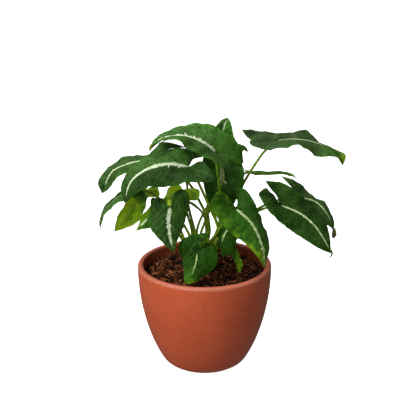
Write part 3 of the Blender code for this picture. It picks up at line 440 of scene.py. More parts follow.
def rays(leaf, side, grid):
    """Where the rays of one half start and end, from the tip on, and the lobe's vein numbers."""
    rows, lobe_rows, _ = grid
    points = margin(leaf, side)
    edge = smooth_curve(points, MARGIN_POINTS)
    beside = int(FRONT_REACH * np.argmin(np.linalg.norm(edge - points[4], axis=1)))
    front = along(edge[:beside + 1], np.linspace(0.0, 1.0, rows + 1))
    lobe = along(edge[beside:], np.linspace(0.0, 1.0, lobe_rows + 1))
    starts, steps = lobe_vein(points, lobe, lobe_rows)
    roots = np.vstack((along(midrib(leaf)[0], np.linspace(1.0, 0.0, rows + 1)), starts[1:]))
    return roots, np.vstack((front, lobe[1:])), steps


def ray_normals(leaf, side):
    """The upper side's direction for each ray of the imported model, smoothed along the margin."""
    roots, edge, _ = rays(leaf, side, CAD_GRID)
    normals = unit(np.cross(np.gradient(edge + roots, axis=0), edge - roots))
    if normals[CAD_GRID[0] // 2] @ np.array(leaf.faces) < 0:
        normals = -normals
    normals[0], normals[-1] = normals[1], normals[-2]
    for _ in range(3):
        inner = normals[:-2] + 2.0 * normals[1:-1] + normals[2:]
        normals = unit(np.vstack((normals[:1], inner, normals[-1:])))
    return normals


def half_blade(leaf, side, grid, detail):
    """Middle surface of one half, a row of points per ray, each with its place on the leaf.

    The place is the distance along the midrib, negative round the lobe, and out from it, both
    in mm, and the share of the way out. Detail adds side veins and the waves of the margin.
    """
    rows, lobe_rows, columns = grid
    coarse_rows, coarse_lobe_rows, _ = CAD_GRID
    coarse = ray_normals(leaf, side)
    number = np.concatenate((np.linspace(0.0, coarse_rows, rows + 1),
                             coarse_rows + np.linspace(0.0, coarse_lobe_rows, lobe_rows + 1)[1:]))
    normals = unit(between(number, range(len(coarse)), coarse))
    roots, edge, steps = rays(leaf, side, grid)
    if detail:
        edge = rippled(leaf, side, roots, edge, normals)
    reach = np.linalg.norm(edge - roots, axis=1)[:, None]
    out = np.linspace(0.0, 1.0, columns + 1)[None, :]
    surface = roots[:, None] * (1.0 - out)[..., None] + edge[:, None] * out[..., None]
    lift = 4.0 * out * (1.0 - out) * BLADE_BULGE * reach
    _, length = midrib(leaf)
    stations = (np.linspace(length, 0.0, rows + 1), -length * LOBE_LENGTH * steps[1:] / max(steps))
    station = np.concatenate(stations)[:, None] + 0.0 * out
    distance = out * reach
    if detail:
        swell = np.cos(tau * vein_phase(station, distance)) * np.sin(pi * out**0.8)
        lift = lift - QUILT_HEIGHT * swell * np.minimum(1.0, reach / QUILT_REACH)
    places = np.stack((station, distance * (1 - 2 * side), out + 0.0 * station), axis=-1)
    return np.concatenate((surface + lift[..., None] * normals[:, None], places), axis=-1), steps


def vein_phase(station, distance):
    """Which side vein a place lies on, as a whole number, or between which two."""
    return (station - VEIN_SLANT * distance) / VEIN_SPACING


def rippled(leaf, side, roots, edge, normals):
    """A margin with its small waves, none at the tip and at the petiole."""
    arc = lengths_along(edge)
    calm = np.sin(pi * arc / arc[-1])**0.5
    seed = 1.7 * LEAVES.index(leaf) + 0.9 * side
    waves = np.sin(arc / 2.9 + seed) + 0.7 * np.sin(arc / 1.7 + 2.0 * seed) * np.sin(arc / 6.0 + seed)
    notch = LOOKS[leaf.name].ragged * np.sin(arc / 1.3 + 3.0 * seed) * np.sin(arc / 4.1 + seed)
    return edge + (calm * RIPPLE_HEIGHT * waves)[:, None] * normals \
        + (calm * NOTCH_DEPTH * notch)[:, None] * unit(edge - roots)


def blade_surface(leaf, grid, detail=False):
    """Points, triangles, the midrib's point numbers and the places of the whole middle surface."""
    rows, lobe_rows, columns = grid
    points, triangles, ribs = [], [], list(range(rows + 1))
    for side in (0, 1):
        half, steps = half_blade(leaf, side, grid, detail)
        if side == 0:
            points = list(half[:rows + 1, 0])
        vein = [ribs[-1]] + [len(points) + step for step in range(max(steps))]
        points += [half[rows + list(steps).index(step), 0] for step in range(1, max(steps) + 1)]
        numbers = np.empty(half.shape[:2], int)
        numbers[:, 0] = ribs + [vein[step] for step in steps[1:]]
        numbers[0], numbers[-1] = ribs[0], ribs[-1]
        for row in range(1, rows + lobe_rows):
            numbers[row, 1:] = range(len(points), len(points) + columns)
            points += list(half[row, 1:])
        squares = np.stack((numbers[:-1, :-1], numbers[:-1, 1:], numbers[1:, 1:], numbers[1:, :-1]), -1)
        halves = squares[..., [0, 1, 2, 0, 2, 3]].reshape(-1, 3).tolist()
        triangles += [t if side else t[::-1] for t in halves if len(set(t)) == 3]
    points, places = np.hsplit(np.array(points), 2)
    triangles = np.array(triangles)
    at_rib = np.isin(triangles, ribs[1:]).any(axis=1)
    if face_areas(points, triangles)[at_rib].sum(axis=0) @ np.array(leaf.faces) < 0:
        triangles = triangles[:, ::-1]
    return points, triangles, ribs, places


def face_areas(points, triangles):
    """Each triangle's direction, as long as twice its area."""
    corners = points[triangles]
    return np.cross(corners[:, 1] - corners[:, 0], corners[:, 2] - corners[:, 0])


def point_normals(points, triangles):
    """The surface's direction at each point."""
    normals = np.zeros_like(points)
    for corner in range(3):
        np.add.at(normals, triangles[:, corner], face_areas(points, triangles))
    return unit(normals)


def border_edges(triangles):
    """Edges that belong to one triangle only, in that triangle's direction."""
    edges = {(a, b) for t in triangles.tolist() for a, b in zip(t, t[1:] + t[:1])}
    return sorted((a, b) for a, b in edges if (b, a) not in edges)


def build_leaf(leaf):
    """A blade with a velvety upper and a paler lower face, and a thin rim between them."""
    look = LOOKS[leaf.name]
    points, triangles, _, places = blade_surface(leaf, FINE_GRID, detail=True)
    station, distance, out = places.T
    _, length = midrib(leaf)
    half = BLADE_THICKNESS / 2 * (1.0 - RIM_THINNING * out**3)
    offset = point_normals(points, triangles) * half[:, None]
    count = len(points)
    faces = triangles.tolist() + (triangles[:, ::-1] + count).tolist()
    for a, b in border_edges(triangles):
        faces += [(b, a, a + count), (b, a + count, b + count)]
    blade = make_piece(leaf.name + "_blade", np.vstack((points + offset, points - offset)), faces,
                       leaf.name, "blade", 60.0, upper_leaf(leaf, look), lower_leaf(leaf, look))
    slots = np.zeros(len(faces), int)
    slots[len(triangles):2 * len(triangles)] = 1
    blade.data.polygons.foreach_set("material_index", slots)
    share, away = station / length, np.abs(distance)
    give_vector(blade, "place", station, away, np.sign(distance))
    give_vector(blade, "growth", vein_phase(station, away), out, freshness(look, share, distance, out))
    # The third number of stripe is how bright the greens are, partly painted light and shade.
    give_vector(blade, "stripe", *stripe_room(look, share, away, length), tone_and_painted_light(look, share, distance))


def freshness(look, share, distance, out):
    """How young and yellow-green the leaf is at each place."""
    side_a, side_b, tip, lobe_a, lobe_b = np.broadcast_to(look.fresh, 5)
    sides = np.where(distance > 0, side_a, side_b) * (0.25 + 0.75 * out)
    forward = ramp(share, 0.45, 0.95)
    lobes = np.where(distance > 0, lobe_a, lobe_b)
    behind = ramp(share, 0.3, -0.2)
    return np.clip(sides + tip * forward**1.5 + lobes * behind, 0.0, 1.0)


def stripe_room(look, share, away, length):
    """How far each place lies inside the pale stripe along the midrib, and the stripe's half width.

    Both are in mm, and the first is negative outside the stripe.
    """
    half, narrow, start, end = look.stripe
    opening = ramp(share, start, start + STRIPE_OPENING) * ramp(share, end, end - STRIPE_CLOSING)
    width = (half + (narrow - half) * ramp(share, start, end)) * opening**0.5
    outside = np.minimum(0.0, np.minimum(share - start, end - share)) * length
    return width + outside * 1.5 - away, width


def tone_and_painted_light(look, share, distance):
    """How bright the greens are at each place, from the lobes to the tip and across the midrib, with
    painted light and shade.
    """
    side_a, side_b = (np.interp(share, (-LOBE_LENGTH, 0.15, 1.0), tones)
                      for tones in np.broadcast_to(look.tones, (2, 3)))
    return side_b + (side_a - side_b) * (0.5 + 0.5 * np.tanh(distance / 3.0))


# Petioles and stems

def rib_under_blade(leaf):
    """Centre line and radii of the raised rib, from the petiole towards the tip."""
    points, triangles, ribs, _ = blade_surface(leaf, CAD_GRID)
    normals = point_normals(points, triangles)[ribs][::-1]
    line = points[ribs][::-1]
    shares = np.linspace(0.0, 1.0, len(line))
    keep = shares <= RIB_REACH
    radii = (RIB_RADIUS + RIB_GROWTH * leaf.half_width) * (1.0 - RIB_TAPER * shares)
    heading = unit(np.gradient(line, axis=0))
    drop = np.empty(len(line))
    for number, point in enumerate(line):
        fold = 1.0
        for other in neighbours(points, triangles, ribs[-1 - number], ribs):
            spoke = other - point
            spoke = unit(spoke - (spoke @ heading[number]) * heading[number])
            down = max(0.0, -(spoke @ normals[number]))
            fold = min(fold, np.sqrt(1.0 - min(down, 0.9)**2))
        drop[number] = (BLADE_THICKNESS / 2 + GAP + radii[number]) / fold
    return (line - normals * drop[:, None])[keep], radii[keep], heading[0], normals[0]


def neighbours(points, triangles, number, ribs):
    """Points joined to one point of the midrib, the midrib's own left out."""
    beside = triangles[(triangles == number).any(axis=1)]
    return [points[other] for other in set(beside.ravel().tolist()) - set(ribs)]


def petiole(leaf):
    """Centre line and radii of a petiole that rises from its stem and becomes the rib."""
    rib, rib_radii, heading, normal = rib_under_blade(leaf)
    turn = PETIOLE_TURN * LEAVES.index(leaf)
    aside = np.array((cos(turn), sin(turn), 0.0))
    foot = np.array((*STEMS[leaf.stem], PETIOLE_FOOT)) + 0.75 * aside
    way = [foot, foot + 0.4 * aside + (0.0, 0.0, 9.0)]
    way += [drawn(*point) for point in leaf.petiole]
    way += [rib[0] - heading * 4.0 - normal * 3.0, rib[0]]
    line = along(smooth_curve(way, 200), np.linspace(0.0, 1.0, PETIOLE_STEPS + 1))
    root = PETIOLE_RADIUS + PETIOLE_GROWTH * leaf.half_width
    radii = np.linspace(root, rib_radii[0], PETIOLE_STEPS + 1)
    return np.vstack((line, rib[1:])), np.concatenate((radii, rib_radii[1:]))


def build_stems():
    """The clump of stems and petioles, with a swollen joint under each leaf."""
    points, faces = [], []
    heights = np.linspace(STEM_FOOT, STEM_TOP, STEM_RINGS)
    shoulder = ramp(heights, STEM_TOP - STEM_SHOULDER, STEM_TOP)
    for place in STEMS.values():
        line = np.array([(*place, height) for height in heights])
        add_tube(points, faces, line, STEM_RADIUS * (1.0 - 0.5 * shoulder**2))
    shares, tones = [0.0] * len(points), [1.0] * len(points)
    for leaf in LEAVES:
        line, radii = petiole(leaf)
        marked = np.column_stack((line, radii, np.arange(len(line))))
        smooth = smooth_curve(marked, 6 * len(line))
        near = (smooth[:, 4] - PETIOLE_STEPS) / JOINT_LENGTH
        add_tube(points, faces, smooth[:, :3], smooth[:, 3] * (1.0 + JOINT_SWELLING * np.exp(-near**2)))
        shares += np.repeat(np.clip(smooth[:, 4] / PETIOLE_STEPS, 0.0, 1.4), TUBE_SIDES).tolist()
        tones += [PETIOLE_TONES.get(leaf.name, 1.0)] * (len(points) - len(tones))
    clump = make_piece("stem_clump", points, faces, "stems", "stem", 50.0, stem_skin())
    give_vector(clump, "growth", shares, tones, tones)


def build_curl(curl):
    """A small curled tip, withered sheath or knob, as a flattened tube along drawn points."""
    line = smooth_curve([drawn(*point) for point in curl.line], CURL_RINGS)
    share = np.linspace(0.0, 1.0, CURL_RINGS)
    points, faces = [], []
    add_tube(points, faces, line, curl.half_width * np.interp(share, (0.0, 0.15, 0.6, 1.0), curl.swell))
    centre = np.repeat(line, TUBE_SIDES, axis=0)
    offset = np.array(points) - centre
    thin = unit(np.array(curl.thin))
    points = centre + offset - (offset @ thin)[:, None] * thin * (1.0 - curl.depth)
    make_piece(curl.name, points, faces, curl.node, curl.slot, 60.0, dry_skin(curl))


def add_tube(points, faces, line, radii, sides=TUBE_SIDES):
    """Add a closed tube round a line, its rings carried along without twist."""
    heading = unit(np.gradient(line, axis=0))
    side = unit(np.cross(heading[0], (0.3, 1.0, 0.2)))
    start = len(points)
    for centre, ahead, radius in zip(line, heading, radii):
        side = unit(side - (side @ ahead) * ahead)
        other = np.cross(ahead, side)
        for step in range(sides):
            angle = tau * step / sides
            points.append(centre + radius * (cos(angle) * side + sin(angle) * other))
    for ring in range(len(line) - 1):
        for step in range(sides):
            a = start + ring * sides + step
            b = start + ring * sides + (step + 1) % sides
            faces.append((a, b, b + sides, a + sides))
    faces.append(tuple(reversed(range(start, start + sides))))
    faces.append(tuple(range(len(points) - sides, len(points))))


# Pot and soil

def pot_profile():
    """The pot's section: round the outside, over the lip and down the inside."""
    wall = smooth_curve(POT_WALL, 60)
    wall[:, 0] -= GROOVE_DEPTH * np.exp(-((wall[:, 1] - GROOVE_HEIGHT) / GROOVE_WIDTH)**2)
    top = POT_WALL[-1][0]
    bend = np.linspace(0.0, pi / 2, 12)
    outer = [(top - LIP_OUTER_ROUND * (1 - cos(a)) - LIP_LEAN * a / (pi / 2),
              POT_HEIGHT - LIP_OUTER_ROUND * (1 - sin(a))) for a in bend[1:]]
    inner = [(top - WALL_THICKNESS + LIP_INNER_ROUND * (1 - sin(a)),
              POT_HEIGHT - LIP_INNER_ROUND * (1 - cos(a))) for a in bend]
    hollow = [(radius - WALL_THICKNESS, height) for radius, height in POT_WALL[:2:-1]]
    return [(0.0, 0.0), (FOOT_RADIUS, 0.0), *wall.tolist(), *outer, *inner, *hollow,
            (FLOOR_RADIUS, FLOOR_THICKNESS), (0.0, FLOOR_THICKNESS)]


def lathe(profile, segments):
    """Points and faces of a section turned round the Z axis."""
    points, rings, faces = [], [], []
    for radius, height in profile:
        count = 1 if radius == 0.0 else segments
        rings.append([len(points) + step for step in range(count)])
        for step in range(count):
            angle = tau * step / segments
            points.append((radius * cos(angle), radius * sin(angle), height))
    for low, high in zip(rings, rings[1:]):
        for step in range(segments):
            after = (step + 1) % segments
            face = (low[step % len(low)], low[after % len(low)],
                    high[after % len(high)], high[step % len(high)])
            faces.append(tuple(dict.fromkeys(face)))
    return np.array(points), faces


def build_pot():
    """The round pot with its rolled lip."""
    make_piece("pot_body", *lathe(pot_profile(), POT_SEGMENTS), "pot", "clay", 50.0, clay())


def soil_height(x, y):
    """Height of the soil at a place: the mound, its hollows and its crumbs."""
    reach = np.hypot(x, y) / 60.0
    crumbs = np.sin(0.23 * x + 1.3 * np.sin(0.17 * y)) * np.cos(0.21 * y - 0.9 * np.sin(0.19 * x))
    crumbs = crumbs + 0.6 * np.sin(0.41 * x - 0.33 * y + 1.0) * np.cos(0.37 * y + 0.28 * x)
    fine = np.sin(1.1 * x + 2.0 * np.sin(0.7 * y)) * np.sin(1.3 * y - 1.7 * np.sin(0.9 * x))
    return SOIL_LEVEL + SOIL_MOUND * (1.0 - reach**2) + SOIL_RELIEF * crumbs + 0.5 * fine


def soil_clump(x, y):
    """How far a place belongs to a clump (1) or to a hollow between clumps (-1)."""
    return np.sin(0.62 * x + 1.9 * np.sin(0.31 * y)) * np.cos(0.55 * y - 1.7 * np.sin(0.27 * x))


def build_soil():
    """Soil that fills the pot, with loose crumbs and fibres of coir on it."""
    rng = np.random.default_rng(5)
    wall = [(radius - WALL_THICKNESS - GAP, height + GAP) for radius, height in POT_WALL[3:]
            if height < SOIL_LEVEL - 6.0]
    brim = POT_WALL[-1][0] - WALL_THICKNESS - GAP - 0.2
    top = [(brim * (1.0 - step / SOIL_RINGS), SOIL_LEVEL) for step in range(SOIL_RINGS)]
    floor = FLOOR_THICKNESS + GAP
    profile = [(0.0, floor), (FLOOR_RADIUS - GAP, floor), *wall, *top, (0.0, SOIL_LEVEL)]
    points, faces = lathe(profile, SOIL_SEGMENTS)
    upper = points[:, 2] == SOIL_LEVEL
    points[upper, 2] = soil_height(points[upper, 0], points[upper, 1])
    points = list(points)
    tones = [SOIL_TONE] * len(points)
    add_crumbs(points, faces, tones, rng, brim)
    add_fibres(points, faces, tones, rng, brim)
    soil = make_piece("soil_top", points, faces, "soil", "peat", 40.0, coir())
    give_vector(soil, "tone", tones, tones, tones)


def add_crumbs(points, faces, tones, rng, brim):
    """Add loose lumps of soil, most of them small."""
    ball = bmesh.new()
    bmesh.ops.create_icosphere(ball, subdivisions=1, radius=1.0)
    shape = np.array([vertex.co[:] for vertex in ball.verts])
    corners = np.array([[vertex.index for vertex in face.verts] for face in ball.faces])
    ball.free()
    for _ in range(CRUMBS):
        radius = 0.50 + 1.5 * rng.random()**5
        angle = tau * rng.random()
        reach = (brim - radius - 1.0) * rng.random()**0.5
        x, y = reach * cos(angle), reach * sin(angle)
        stretch = radius * np.array((1.25, 0.5, 0.4) + 0.5 * rng.random(3))
        lump = shape * (0.7 + 0.6 * rng.random((len(shape), 1))) * stretch
        turn, _ = np.linalg.qr(rng.normal(size=(3, 3)))
        clump = soil_clump(x, y)
        height = soil_height(x, y) + radius * (1.6 * rng.random() - 0.5) + 1.1 * clump
        faces += [tuple(face) for face in (corners + len(points)).tolist()]
        points += list(lump @ turn + (x, y, height))
        tone = 0.05 + 0.2 * rng.random() if rng.random() < 0.62 else 0.35 + 0.7 * rng.random()**2
        # Painted shade: crumbs in the hollows between clumps are darker, those on clumps lighter.
        tones += [tone * (0.85 + 0.45 * clump)] * len(shape)


def add_fibres(points, faces, tones, rng, brim):
    """Add bent fibres that lie on the soil, some with a loose end in the air, a few of them pale."""
    steps = np.linspace(-0.5, 0.5, FIBRE_RINGS)
    for _ in range(FIBRES):
        size = 3.0 + 11.0 * rng.random()**2
        angle, way, bend = tau * rng.random(), tau * rng.random(), 1.6 * (rng.random() - 0.5)
        reach = (brim - 2.0) * rng.random()**0.5
        heading = way + bend * steps * 2.0
        line = np.empty((FIBRE_RINGS, 3))
        line[:, 0] = reach * cos(angle) + np.cumsum(np.cos(heading)) * size / FIBRE_RINGS
        line[:, 1] = reach * sin(angle) + np.cumsum(np.sin(heading)) * size / FIBRE_RINGS
        outside = np.maximum(np.hypot(line[:, 0], line[:, 1]) / (brim - 1.0), 1.0)
        line[:, :2] /= outside[:, None]
        lifted = (0.5 + 1.6 * rng.random()) + rng.normal(0.0, 1.3) * steps
        line[:, 2] = soil_height(line[:, 0], line[:, 1]) + np.maximum(lifted, 0.1)
        radii = (0.12 + 0.20 * rng.random()) * (1.0 - 1.2 * steps**2)
        tone = float(np.clip(rng.normal(0.50, 0.27), 0.1, 1.05)) + 0.5 * (rng.random() < 0.05)
        add_tube(points, faces, line, radii, FIBRE_SIDES)
        tones += [tone] * (FIBRE_RINGS * FIBRE_SIDES)


# Making objects

def make_object(name, points, faces):
    """A mesh object from points in millimetres."""
    mesh = bpy.data.meshes.new(name)
    mesh.from_pydata((np.asarray(points, float) * MM).tolist(), [], [tuple(face) for face in faces])
    created = bpy.data.objects.new(name, mesh)
    bpy.context.scene.collection.objects.link(created)
    return created


def make_piece(name, points, faces, node, slot, sharp_angle, *materials):
    """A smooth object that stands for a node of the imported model; edges above an angle are sharp."""
    piece = make_object(name, points, faces)
    for material in materials:
        piece.data.materials.append(material)
    piece.data.shade_smooth()
    piece.data.set_sharp_from_angle(angle=radians(sharp_angle))
    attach(piece, "root")
    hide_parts(node)
    return piece


def give_vector(target, name, *values):
    """Store three numbers for each point of a mesh, for its material.

    A blade has every point twice, for its two faces, and both get the same numbers.
    """
    kept = target.data.attributes.new(name, "FLOAT_VECTOR", "POINT")
    values = np.column_stack(values).astype(np.float32)
    doubled = np.tile(values, (len(target.data.vertices) // len(values), 1))
    kept.data.foreach_set("vector", doubled.ravel())


# Materials

class Number:
    """A number of a material's graph; a sum with it makes another one."""

    def __init__(self, nodes, socket):
        self.nodes = nodes
        self.socket = socket

    def __add__(self, other):
        return self.nodes.math("ADD", self, other)

    def __sub__(self, other):
        return self.nodes.math("SUBTRACT", self, other)

    def __mul__(self, other):
        return self.nodes.math("MULTIPLY", self, other)


class Nodes:
    """The nodes of one material, with short calls for the ones used here."""

    def __init__(self, name, **settings):
        self.material = bpy.data.materials.new(name)
        self.material.use_nodes = True
        self.tree = self.material.node_tree
        self.shader = self.tree.nodes["Principled BSDF"]
        self.set(self.shader, **settings)

    def set(self, node, **sockets):
        """Set or link sockets of a node; an underscore in a socket's name is a space."""
        for name, value in sockets.items():
            self.put(node.inputs[name.replace("_", " ")], value)

    def add(self, kind, settings=None, **sockets):
        """A new node with its settings and sockets."""
        node = self.tree.nodes.new("ShaderNode" + kind)
        for name, value in (settings or {}).items():
            setattr(node, name, value)
        self.set(node, **sockets)
        return node

    def put(self, socket, value):
        """Link or set one socket."""
        value = value.socket if isinstance(value, Number) else value
        if isinstance(value, bpy.types.NodeSocket):
            self.tree.links.new(value, socket)
        else:
            socket.default_value = value

    def attribute(self, name):
        """The three numbers stored for each point under a name."""
        return self.split(self.add("Attribute", {"attribute_name": name}).outputs["Vector"])

    def split(self, vector):
        """The three numbers of a vector."""
        parts = self.add("SeparateXYZ", Vector=vector)
        return [Number(self, parts.outputs[axis]) for axis in "XYZ"]

    def math(self, operation, *values):
        """What an operation makes of one or two numbers."""
        node = self.add("Math", {"operation": operation})
        for socket, value in zip(node.inputs, values):
            self.put(socket, value)
        return Number(self, node.outputs["Value"])

    def ease(self, value, low, high, out_low=0.0, out_high=1.0):
        """A soft step from one value to another between two limits."""
        step = self.add("MapRange", {"interpolation_type": "SMOOTHSTEP"}, Value=value, From_Min=low,
                        From_Max=high, To_Min=out_low, To_Max=out_high)
        return Number(self, step.outputs["Result"])

    def vector(self, x, y, z):
        """Three numbers as a vector."""
        return self.add("CombineXYZ", X=x, Y=y, Z=z).outputs["Vector"]

    def place(self):
        """Where a point of the object is, in metres."""
        return self.add("TexCoord").outputs["Object"]

    def noise(self, scale, detail=3.0, vector=None, roughness=0.55):
        """Noise from 0 to 1; scale is per metre of the object unless a vector is given."""
        cloud = self.add("TexNoise", Vector=vector or self.place(), Scale=scale, Detail=detail,
                         Roughness=roughness)
        return Number(self, cloud.outputs["Fac"])

    def mix(self, share, first, second):
        """A colour between two colours."""
        node = self.add("Mix", {"data_type": "RGBA"})
        colours = [socket for socket in node.inputs if socket.type == "RGBA"]
        self.put(node.inputs[0], share)
        for socket, value in zip(colours, (first, second)):
            self.put(socket, (*value, 1.0) if isinstance(value, tuple) else value)
        return next(socket for socket in node.outputs if socket.type == "RGBA")

    def fade(self, value, low, high, first, second, most=1.0):
        """The first colour, which turns to most of the second while a value goes from low to high."""
        return self.mix(self.ease(value, low, high, 0.0, most), first, second)

    def scale(self, colour, factor):
        """A colour made lighter or darker by a number of the graph."""
        return self.add("VectorMath", {"operation": "SCALE"}, Vector=colour, Scale=factor).outputs["Vector"]

    def glow(self, colour, strength):
        """Let the surface shine faintly, as where light comes through."""
        self.set(self.shader, Emission_Color=colour, Emission_Strength=strength)

    def finish(self, colour, roughness, height, depth):
        """Set the colour, roughness and relief, whose depth is in metres, and return the material."""
        relief = self.add("Bump", Strength=1.0, Distance=depth, Height=height)
        self.set(self.shader, Base_Color=colour, Roughness=roughness, Normal=relief.outputs["Normal"])
        return self.material


def scaled(colour, factor):
    """A colour made lighter or darker."""
    return tuple(min(1.0, part * factor) for part in colour)


def blend_colours(first, second, share):
    """A colour between two colours, or a little past the second."""
    return tuple(a + (b - a) * share for a, b in zip(first, second))


def upper_leaf(leaf, look):
    """Velvety dark green with side veins, a brighter margin and a feathered silver stripe."""
    nodes = Nodes(leaf.name + "_upper", Sheen_Weight=0.05, Sheen_Roughness=0.45,
                  Sheen_Tint=(0.55, 0.85, 0.25, 1.0), Specular_IOR_Level=0.03 + 0.06 * look.grey)
    station, distance, side = nodes.attribute("place")
    phase, out, fresh = nodes.attribute("growth")
    room, width, tone = nodes.attribute("stripe")
    blotch = nodes.noise(170.0)
    to_vein = nodes.math("PINGPONG", phase + nodes.noise(60.0, 2.0) * 1.5, 0.5)
    # Painted light and shade: the greens are scaled by their tone.
    green = nodes.scale(velvet(nodes, look, blotch, to_vein, out), tone)
    green = with_fresh_patches(nodes, green, fresh, blotch)
    # Painted shade: the greens darken round the hollow where the petiole joins the blade.
    near = nodes.math("ABSOLUTE", station) + distance
    green = nodes.fade(near, look.pit, 0.4 * look.pit, green, (0.006, 0.020, 0.002), 0.8)

    seed = 7.0 * LEAVES.index(leaf)
    strands = nodes.vector(station - distance * 0.9, distance * 0.15, side * 9.0 + seed)
    comb = nodes.noise(0.50, 4.0, strands, 0.65)
    barb = nodes.ease(to_vein, 0.14, 0.02) * nodes.ease(nodes.noise(34.0, 1.0), 0.5, 0.62)
    frayed = (comb - 0.5) * (width * (1.6 + 1.3 * look.barbs) + 0.4) + room
    frayed = barb * (width * look.barbs) + frayed
    silver = silver_sheen(nodes, look, nodes.vector(station * 0.22, distance * 2.6, seed))
    # Painted shade: a darker line along the midrib's groove inside wide stripes.
    groove = nodes.ease(distance, 0.45, 0.15) * nodes.ease(width, 1.0, 1.6)
    silver = nodes.mix(groove * 0.45, silver, (0.20, 0.33, 0.12))
    colour = nodes.fade(frayed, -0.15, 0.3, green, silver)

    band = nodes.ease(to_vein, 0.0, 0.28)
    felt = nodes.noise(2600.0, 2.0)
    pucker = nodes.noise(230.0, roughness=0.6)
    # Painted light: a leaf that light shines through glows faintly on its upper face.
    if look.through > 0.0:
        nodes.glow(colour, look.through)
    return nodes.finish(colour, nodes.ease(blotch, 0.3, 0.7, 0.5, 0.68),
                        pucker * 1.3 + (band * 0.45 + felt * 0.12), 0.0006)


def velvet(nodes, look, blotch, to_vein, out):
    """Mottled dark green with its side veins and a brighter margin."""
    # The grey greens are partly the leaf's own colour and partly a painted sheen of its velvet.
    dark = blend_colours((0.010, 0.046, 0.004), (0.0165, 0.044, 0.0085), look.grey)
    mid = blend_colours((0.030, 0.100, 0.010), (0.046, 0.098, 0.024), look.grey)
    cloud = nodes.noise(75.0, 5.0, roughness=0.65)
    fleck = nodes.noise(420.0, roughness=0.7)
    green = nodes.fade(cloud, 0.36, 0.66, dark, mid)
    green = nodes.fade(blotch, 0.42, 0.66, green, scaled(mid, 1.35), 0.35)
    green = nodes.fade(fleck, 0.46, 0.70, green, scaled(mid, 1.7), 0.38)
    green = nodes.fade(fleck, 0.50, 0.30, green, scaled(dark, 0.7), 0.45)
    vein_line = nodes.ease(to_vein, 0.07, 0.0) * nodes.ease(blotch, 0.34, 0.54)
    vein_colour = scaled(mid, 4.5) if look.veins > 0 else scaled(dark, 0.6)
    green = nodes.mix(vein_line * abs(look.veins), green, vein_colour)
    return nodes.fade(out, 0.72, 1.0, green, (0.040, 0.150, 0.012), 0.55)


def with_fresh_patches(nodes, green, fresh, blotch):
    """A green with its young patches, yellow-green where they are freshest."""
    patch = nodes.math("MINIMUM", fresh * nodes.ease(blotch, 0.25, 0.75, 0.35, 1.35), 1.0)
    young = nodes.fade(patch, 0.25, 0.85, (0.046, 0.172, 0.007), (0.150, 0.285, 0.010))
    return nodes.mix(nodes.math("MINIMUM", patch * 1.4, 1.0), green, young)


def silver_sheen(nodes, look, place):
    """The stripe's silver, streaked along the midrib."""
    shaded = blend_colours((0.34, 0.50, 0.13), (0.46, 0.60, 0.31), look.silver)
    silver = blend_colours((0.64, 0.80, 0.30), (0.84, 0.91, 0.67), look.silver)
    return nodes.fade(nodes.noise(1.0, 2.0, place), 0.35, 0.7, shaded, silver)


def lower_leaf(leaf, look):
    """The paler lower face with its fine veins, yellow-green where light shines through."""
    nodes = Nodes(leaf.name + "_lower", Specular_IOR_Level=0.35)
    _, distance, _ = nodes.attribute("place")
    phase, out, fresh = nodes.attribute("growth")
    cloud = nodes.noise(70.0, 4.0)
    plain = nodes.fade(cloud, 0.3, 0.7, (0.045, 0.110, 0.020), (0.085, 0.170, 0.035))
    # Painted light: lit is the yellow-green of light shining through, mixed in and glowing on the lower
    # face.
    lit = nodes.fade(cloud, 0.35, 0.65, (0.165, 0.390, 0.005), (0.420, 0.660, 0.012))
    glow = nodes.ease(cloud, 0.2, 0.75, 0.7, 1.15) * look.under * (fresh * 0.6 + 0.72)
    colour = nodes.mix(nodes.math("MINIMUM", glow, 1.0), plain, lit)
    side_vein = nodes.ease(nodes.math("PINGPONG", phase, 0.5), 0.06, 0.0)
    line = nodes.math("MAXIMUM", side_vein, nodes.ease(distance, 0.9, 0.3))
    colour = nodes.mix(line * 0.5, colour, (0.192, 0.324, 0.084))
    nodes.glow(lit, glow * look.through)
    return nodes.finish(colour, nodes.ease(out, 0.0, 1.0, 0.6, 0.5), line + nodes.noise(1500.0) * 0.2,
                        0.0004)


def stem_skin():
    """Olive green, paler at the foot and at the joints, mottled along its length, with painted light and
    shade.
    """
    nodes = Nodes("petiole_green", Specular_IOR_Level=0.22)
    growth, tone, _ = nodes.attribute("growth")
    mottle = nodes.noise(160.0, 4.0)
    foot = nodes.fade(mottle, 0.35, 0.65, (0.200, 0.350, 0.014), (0.400, 0.540, 0.050))
    shaft = nodes.fade(mottle, 0.35, 0.65, (0.110, 0.250, 0.007), (0.270, 0.420, 0.016))
    colour = nodes.fade(growth, 0.25, 0.7, foot, shaft)
    from_joint = nodes.math("ABSOLUTE", (growth - 0.99) * 16.0)
    joint = nodes.math("MAXIMUM", nodes.math("SUBTRACT", 1.0, from_joint), 0.0)
    # Painted light and shade: each petiole's colour is scaled by its tone.
    colour = nodes.scale(nodes.mix(joint, colour, (0.240, 0.360, 0.045)), tone)
    # Painted light: the rib under the blade and the lower petioles glow faintly.
    painted_glow_under_blade = nodes.ease(growth, 1.0, 1.08, 0.0, 0.12)
    nodes.glow(colour, nodes.math("MAXIMUM", painted_glow_under_blade, nodes.ease(growth, 0.7, 0.3, 0.0, 0.04)))
    return nodes.finish(colour, nodes.ease(mottle, 0.3, 0.7, 0.36, 0.52), nodes.noise(900.0), 0.0002)


def dry_skin(curl):
    """Two mottled greens or browns of a curled tip or a sheath."""
    nodes = Nodes(curl.name + "_skin", Specular_IOR_Level=0.25)
    mottle = nodes.noise(420.0)
    colour = nodes.fade(mottle, 0.35, 0.65, *curl.colours)
    return nodes.finish(colour, nodes.ease(mottle, 0.3, 0.7, 0.5, 0.62), mottle, 0.0002)


